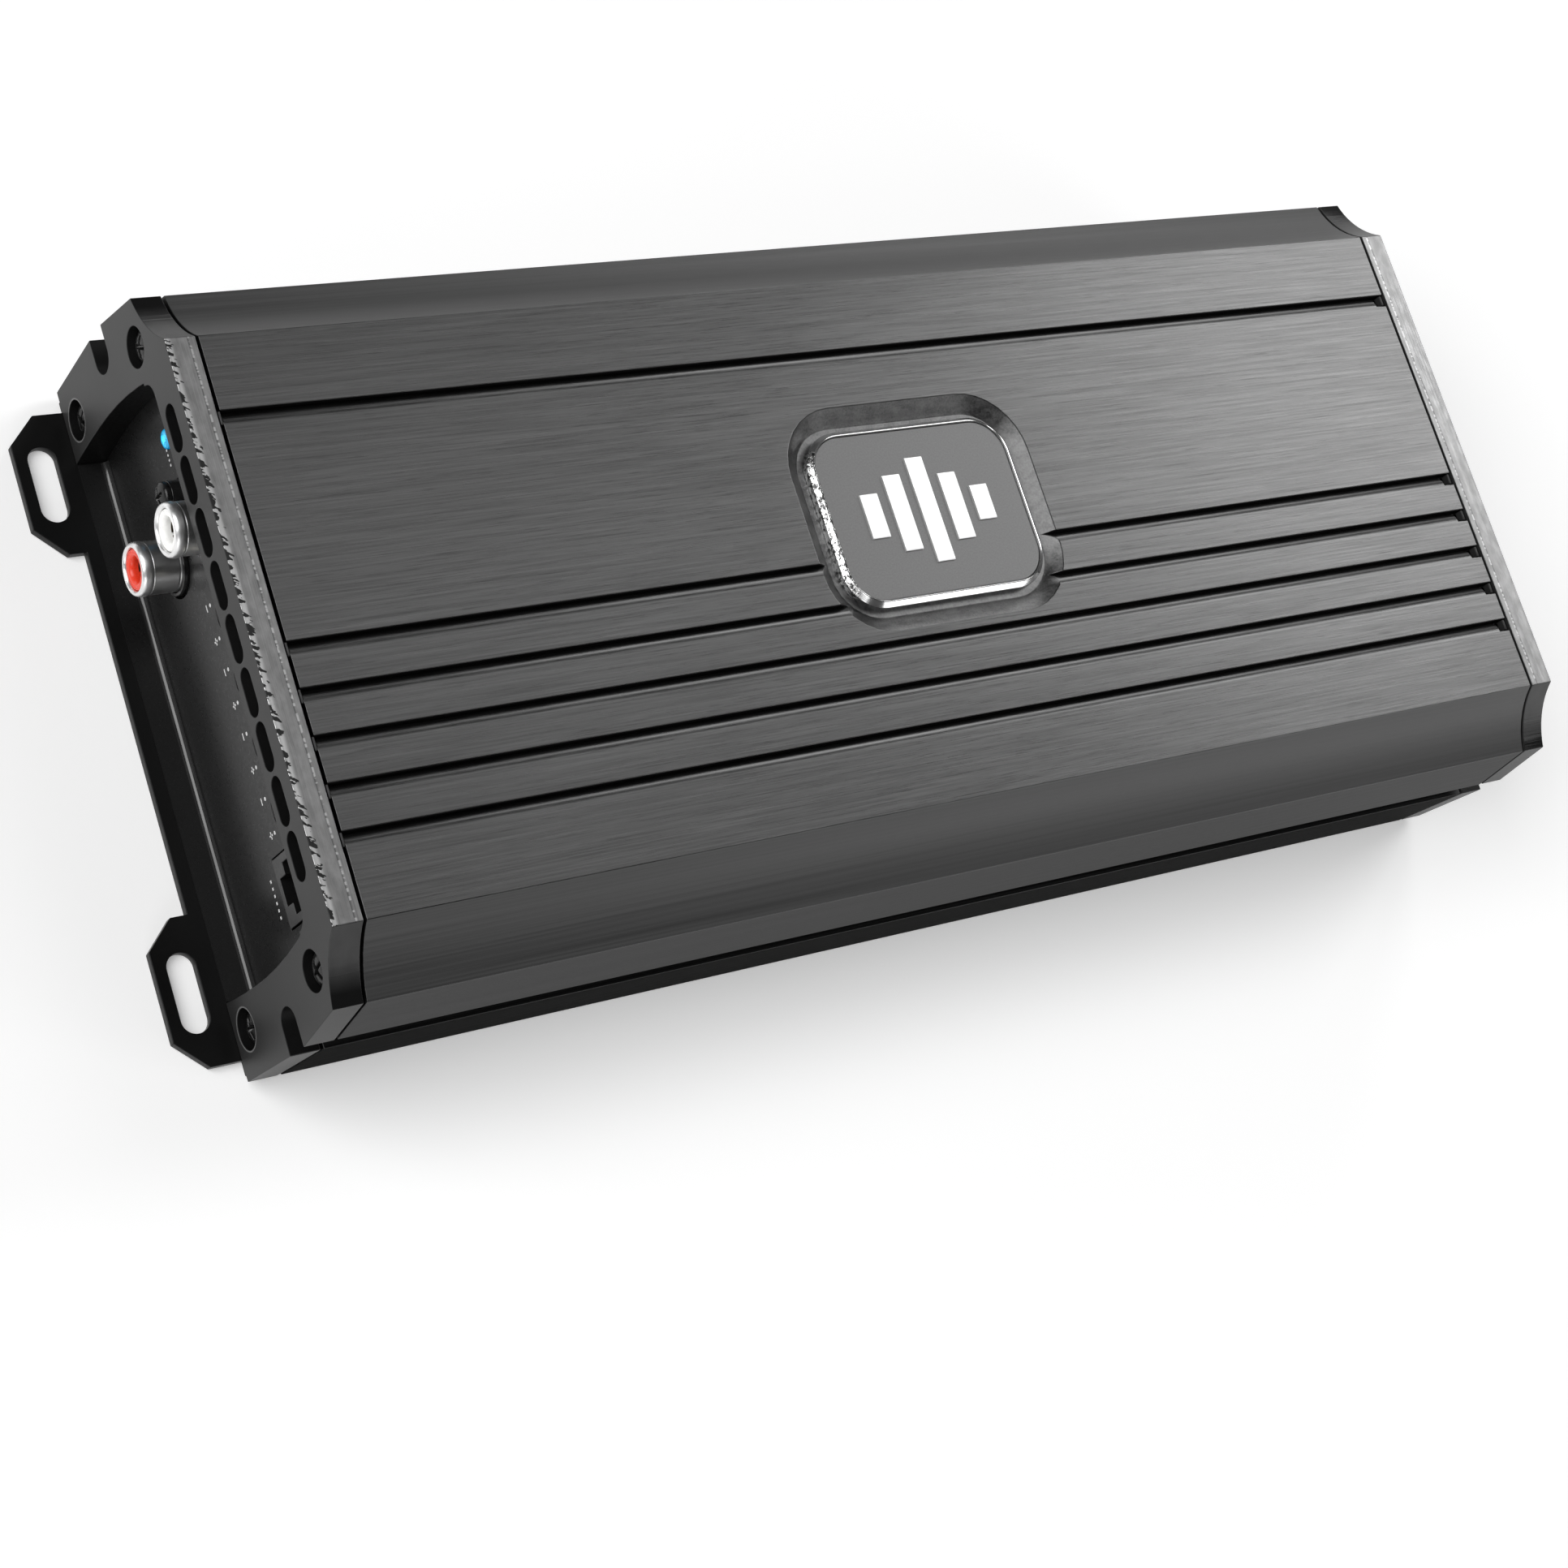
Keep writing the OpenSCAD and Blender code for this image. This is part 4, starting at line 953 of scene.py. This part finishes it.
def toroid(name, core_look, inner, wire, turns):
    """Ring core with one layer of real turns round it."""
    low, high = box_mm(name + "_core")
    x, y, z = middle_mm(name + "_core")
    outer, height = (high.x - low.x) / 2, high.z - low.z
    corner = 1.2
    middle = (inner + outer) / 2

    bm = bmesh.new()
    section = [(middle + u, z + v) for u, v in rounded_outline(outer - inner, height, corner, 3)]
    lathe(bm, section, Matrix.Translation((x, y, 0)), 64, closed=True)
    add_piece(name + "_ring", bm, "case", "ferrite", core_look, name + "_core")

    bm = bmesh.new()
    slack = 2 * wire + 0.5
    loop = rounded_outline(outer - inner + slack, height + slack, corner + wire, 4)
    for i in range(turns):
        angle = 2 * math.pi * (i + 0.5) / turns
        cosine, sine = math.cos(angle), math.sin(angle)
        path = [(x + (middle + u) * cosine, y + (middle + u) * sine, z + v) for u, v in loop]
        tube(bm, path, wire, 8, closed=True)
    add_piece(name + "_turns", bm, "case", "copper", "copper", name + "_winding")


def capacitors():
    """Six cans with a beaded neck and a vent scored across the top, and two film blocks."""
    places = [(x, y) for x in (-21, 0, 21) for y in (-11, 11)]
    sleeve = [(0, 0.05), (8.6, 0.05), (8.9, 0.4), (8.95, 20.6), (8.6, 21.1), (8.5, 21.6), (8.6, 22.1),
              (8.95, 22.6), (8.95, 24.3), (8.7, 24.85), (8.2, 24.95), (7.9, 24.8)]
    top = [(7.75, 24.55), (0, 24.5)]
    bm, vents = bmesh.new(), bmesh.new()
    for x, y in places:
        lathe(bm, sleeve + top, Matrix.Translation((x, y, BOARD_Z)), 56)
        block(vents, (x - 5.5, y - 0.2, BOARD_Z + 24.2), (x + 5.5, y + 0.2, BOARD_Z + 24.6))
    carve(bm, vents)

    def on_top(face):
        height = face.calc_center_median().z - BOARD_Z
        return 1 if face.normal.z > 0.5 and 24.1 < height < 24.62 else 0

    add_piece("capacitor_cans", bm, "case", "capacitor_sleeve", ["sleeve", "can"], "capacitors",
              pick=on_top)

    bm = bmesh.new()
    foot = 1.2
    for y in (14, 26):
        block(bm, (50, y - 4, BOARD_Z + foot), (68, y + 4, BOARD_Z + 14), 1.4, segments=4)
        for x in (52.5, 65.5):
            tube(bm, [(x, y, BOARD_Z), (x, y, BOARD_Z + 2)], 0.4)
    add_piece("film_blocks", bm, "case", "film_red", ["film", "tin"], "film_capacitors",
              pick=lambda face: 1 if face.calc_center_median().z < BOARD_Z + foot - 0.01 else 0)


def chips():
    """One chip on the main board across the body, and three on the raised board along it."""
    places = ((43, 1, 10, BOARD_Z), (-96, -27, 6, PREAMP_Z), (-96, -7, 6, PREAMP_Z), (-96, 5, 6, PREAMP_Z))
    near, width, lead_pitch = 8.0, 3.9, 1.27

    def on_lead(face):
        at = face.calc_center_median()
        for x, y, _, z in places:
            across = at.y - y if z > BOARD_Z else at.x - x
            if abs(at.x - x) < near and abs(at.y - y) < near and abs(across) < width / 2 + 0.01:
                return 0
        return 1

    bm = bmesh.new()
    for x, y, length, z in places:
        along_x = z > BOARD_Z
        half_x, half_y = (length / 2, width / 2) if along_x else (width / 2, length / 2)
        block(bm, (x - half_x, y - half_y, z + 0.15), (x + half_x, y + half_y, z + 1.6), 0.12)
        for i in range(int(length / lead_pitch) - 1):
            along = -length / 2 + lead_pitch * (i + 0.8)
            for reach in (-width / 2 - 0.55, width / 2 + 0.55):
                lead_x, lead_y = (x + along, y + reach) if along_x else (x + reach, y + along)
                dx, dy = (0.2, 0.5) if along_x else (0.5, 0.2)
                block(bm, (lead_x - dx, lead_y - dy, z), (lead_x + dx, lead_y + dy, z + 0.3))
    add_piece("chip_packages", bm, "case", "chip", ["chip", "tin"], "control_chips", pick=on_lead)


def transistors():
    """Rows of power transistors with their tabs against the side walls, and what clamps them there."""
    wall, half, lead_pitch, body_z0, body_z1, tab_z1 = 44.6, 5.0, 2.54, 17.0, 26.0, 32.0

    def on_metal(face):
        at = face.calc_center_median()
        return 0 if body_z0 < at.z < body_z1 + 0.05 and abs(at.y) < wall - 0.2 else 1

    for side, node in ((-1, "transistors_front"), (1, "transistors_back")):
        bm = bmesh.new()
        tab, body, lead = (
            sorted((side * (wall - near), side * (wall - far)))
            for near, far in ((0, 1.3), (0.3, 4.5), (2.1, 2.7))
        )
        for x in (-72, -44, -16, 12, 40, 68):
            block(bm, (x - half, tab[0], body_z1 - 1), (x + half, tab[1], tab_z1), 0.2)
            block(bm, (x - half, body[0], body_z0), (x + half, body[1], body_z1), 0.3)
            for lead_x in (x - lead_pitch, x, x + lead_pitch):
                block(bm, (lead_x - 0.4, lead[0], BOARD_Z), (lead_x + 0.4, lead[1], body_z0 + 0.2), 0.08)
        add_piece("power_" + node, bm, "case", "chip", ["chip", "tin"], node, pick=on_metal)
    soften("thermal_pads", 0.05, "pad", "pad")
    for side in ("front", "back"):
        soften("clamp_bar_" + side, 0.3, "steel", "steel")
    soften("clamp_bar_screws", 0.15, "steel", "steel")


# ---------------------------------------------------------------- stage

LIGHT_DISTANCE = 1.2
LIGHT_AIM = Vector((0, 0, 0.03))


def add_light(name, azimuth, elevation, size, watts):
    """Softbox looking at the part, its size in metres. Azimuth runs from +X towards +Y."""
    turn, lift = math.radians(azimuth), math.radians(elevation)
    away = Vector((math.cos(lift) * math.cos(turn), math.cos(lift) * math.sin(turn), math.sin(lift)))
    light = bpy.data.lights.new(name, "AREA")
    light.shape = "RECTANGLE"
    light.size, light.size_y = size
    light.energy = watts
    panel = bpy.data.objects.new(name, light)
    panel.location = away * LIGHT_DISTANCE + LIGHT_AIM
    panel.rotation_euler = away.to_track_quat("Z", "Y").to_euler()
    bpy.context.scene.collection.objects.link(panel)


def add_floor():
    bm = bmesh.new()
    bmesh.ops.create_grid(bm, x_segments=1, y_segments=1, size=4.0)
    bmesh.ops.translate(bm, verts=bm.verts, vec=(0, 0, -0.0002))
    mesh = bpy.data.meshes.new("floor")
    bm.to_mesh(mesh)
    bm.free()
    floor = bpy.data.objects.new("floor", mesh)
    bpy.context.scene.collection.objects.link(floor)
    pale = Look("pale_floor", 0.9, Emission_Strength=0.3, Specular_IOR_Level=0.0)
    pale.shader.inputs["Emission Color"].default_value = (1, 1, 1, 1)
    pale.paint(pale.blend(pale.noise((600, 600, 600)), tone(0.8), tone(0.82)))
    mesh.materials.append(pale.material)


def add_studio_light():
    world = bpy.data.worlds.new("studio")
    bpy.context.scene.world = world
    world.use_nodes = True
    world.node_tree.nodes["Background"].inputs["Color"].default_value = (1, 1, 1, 1)
    world.node_tree.nodes["Background"].inputs["Strength"].default_value = 0.06
    add_light("end_box", 19, 38, (0.45, 0.35), 3.7)
    add_light("high_box", 34, 62, (0.5, 0.4), 1.2)
    add_light("back_box", 52, 20, (0.35, 0.5), 2.2)
    add_light("low_front_box", 240, 14, (0.45, 0.45), 2.3)
    add_light("low_corner_box", 312, 13, (0.85, 0.5), 2.8)
    add_light("corner_box", 325, 36, (0.3, 0.3), 0.7)
    add_light("camera_side_box", 170, 44, (0.9, 0.9), 12.0)


def add_camera():
    lens = bpy.data.cameras.new("camera")
    lens.lens, lens.sensor_width = 71.905, 36.0
    lens.shift_y = -0.06
    lens.clip_start = 0.01
    camera = bpy.data.objects.new("camera", lens)
    camera.location = (-0.29796, -0.12514, 0.42901)
    camera.rotation_euler = [math.radians(a) for a in (23.049, -28.544, -20.10)]
    bpy.context.scene.collection.objects.link(camera)
    bpy.context.scene.camera = camera
    bpy.context.scene.view_settings.view_transform = "Standard"


heatsink()
end_frames()
frame_screws()
mounting_plate()
badge()
input_panel()
signal_sockets()
indicator()
remote_socket()
adjusters()
panel_marks()
output_end()
boards()
toroid("transformer", "ferrite", inner=8.5, wire=0.85, turns=27)
toroid("output_coil", "powder_core", inner=7.0, wire=0.75, turns=24)
capacitors()
chips()
transistors()
add_floor()
add_studio_light()
add_camera()
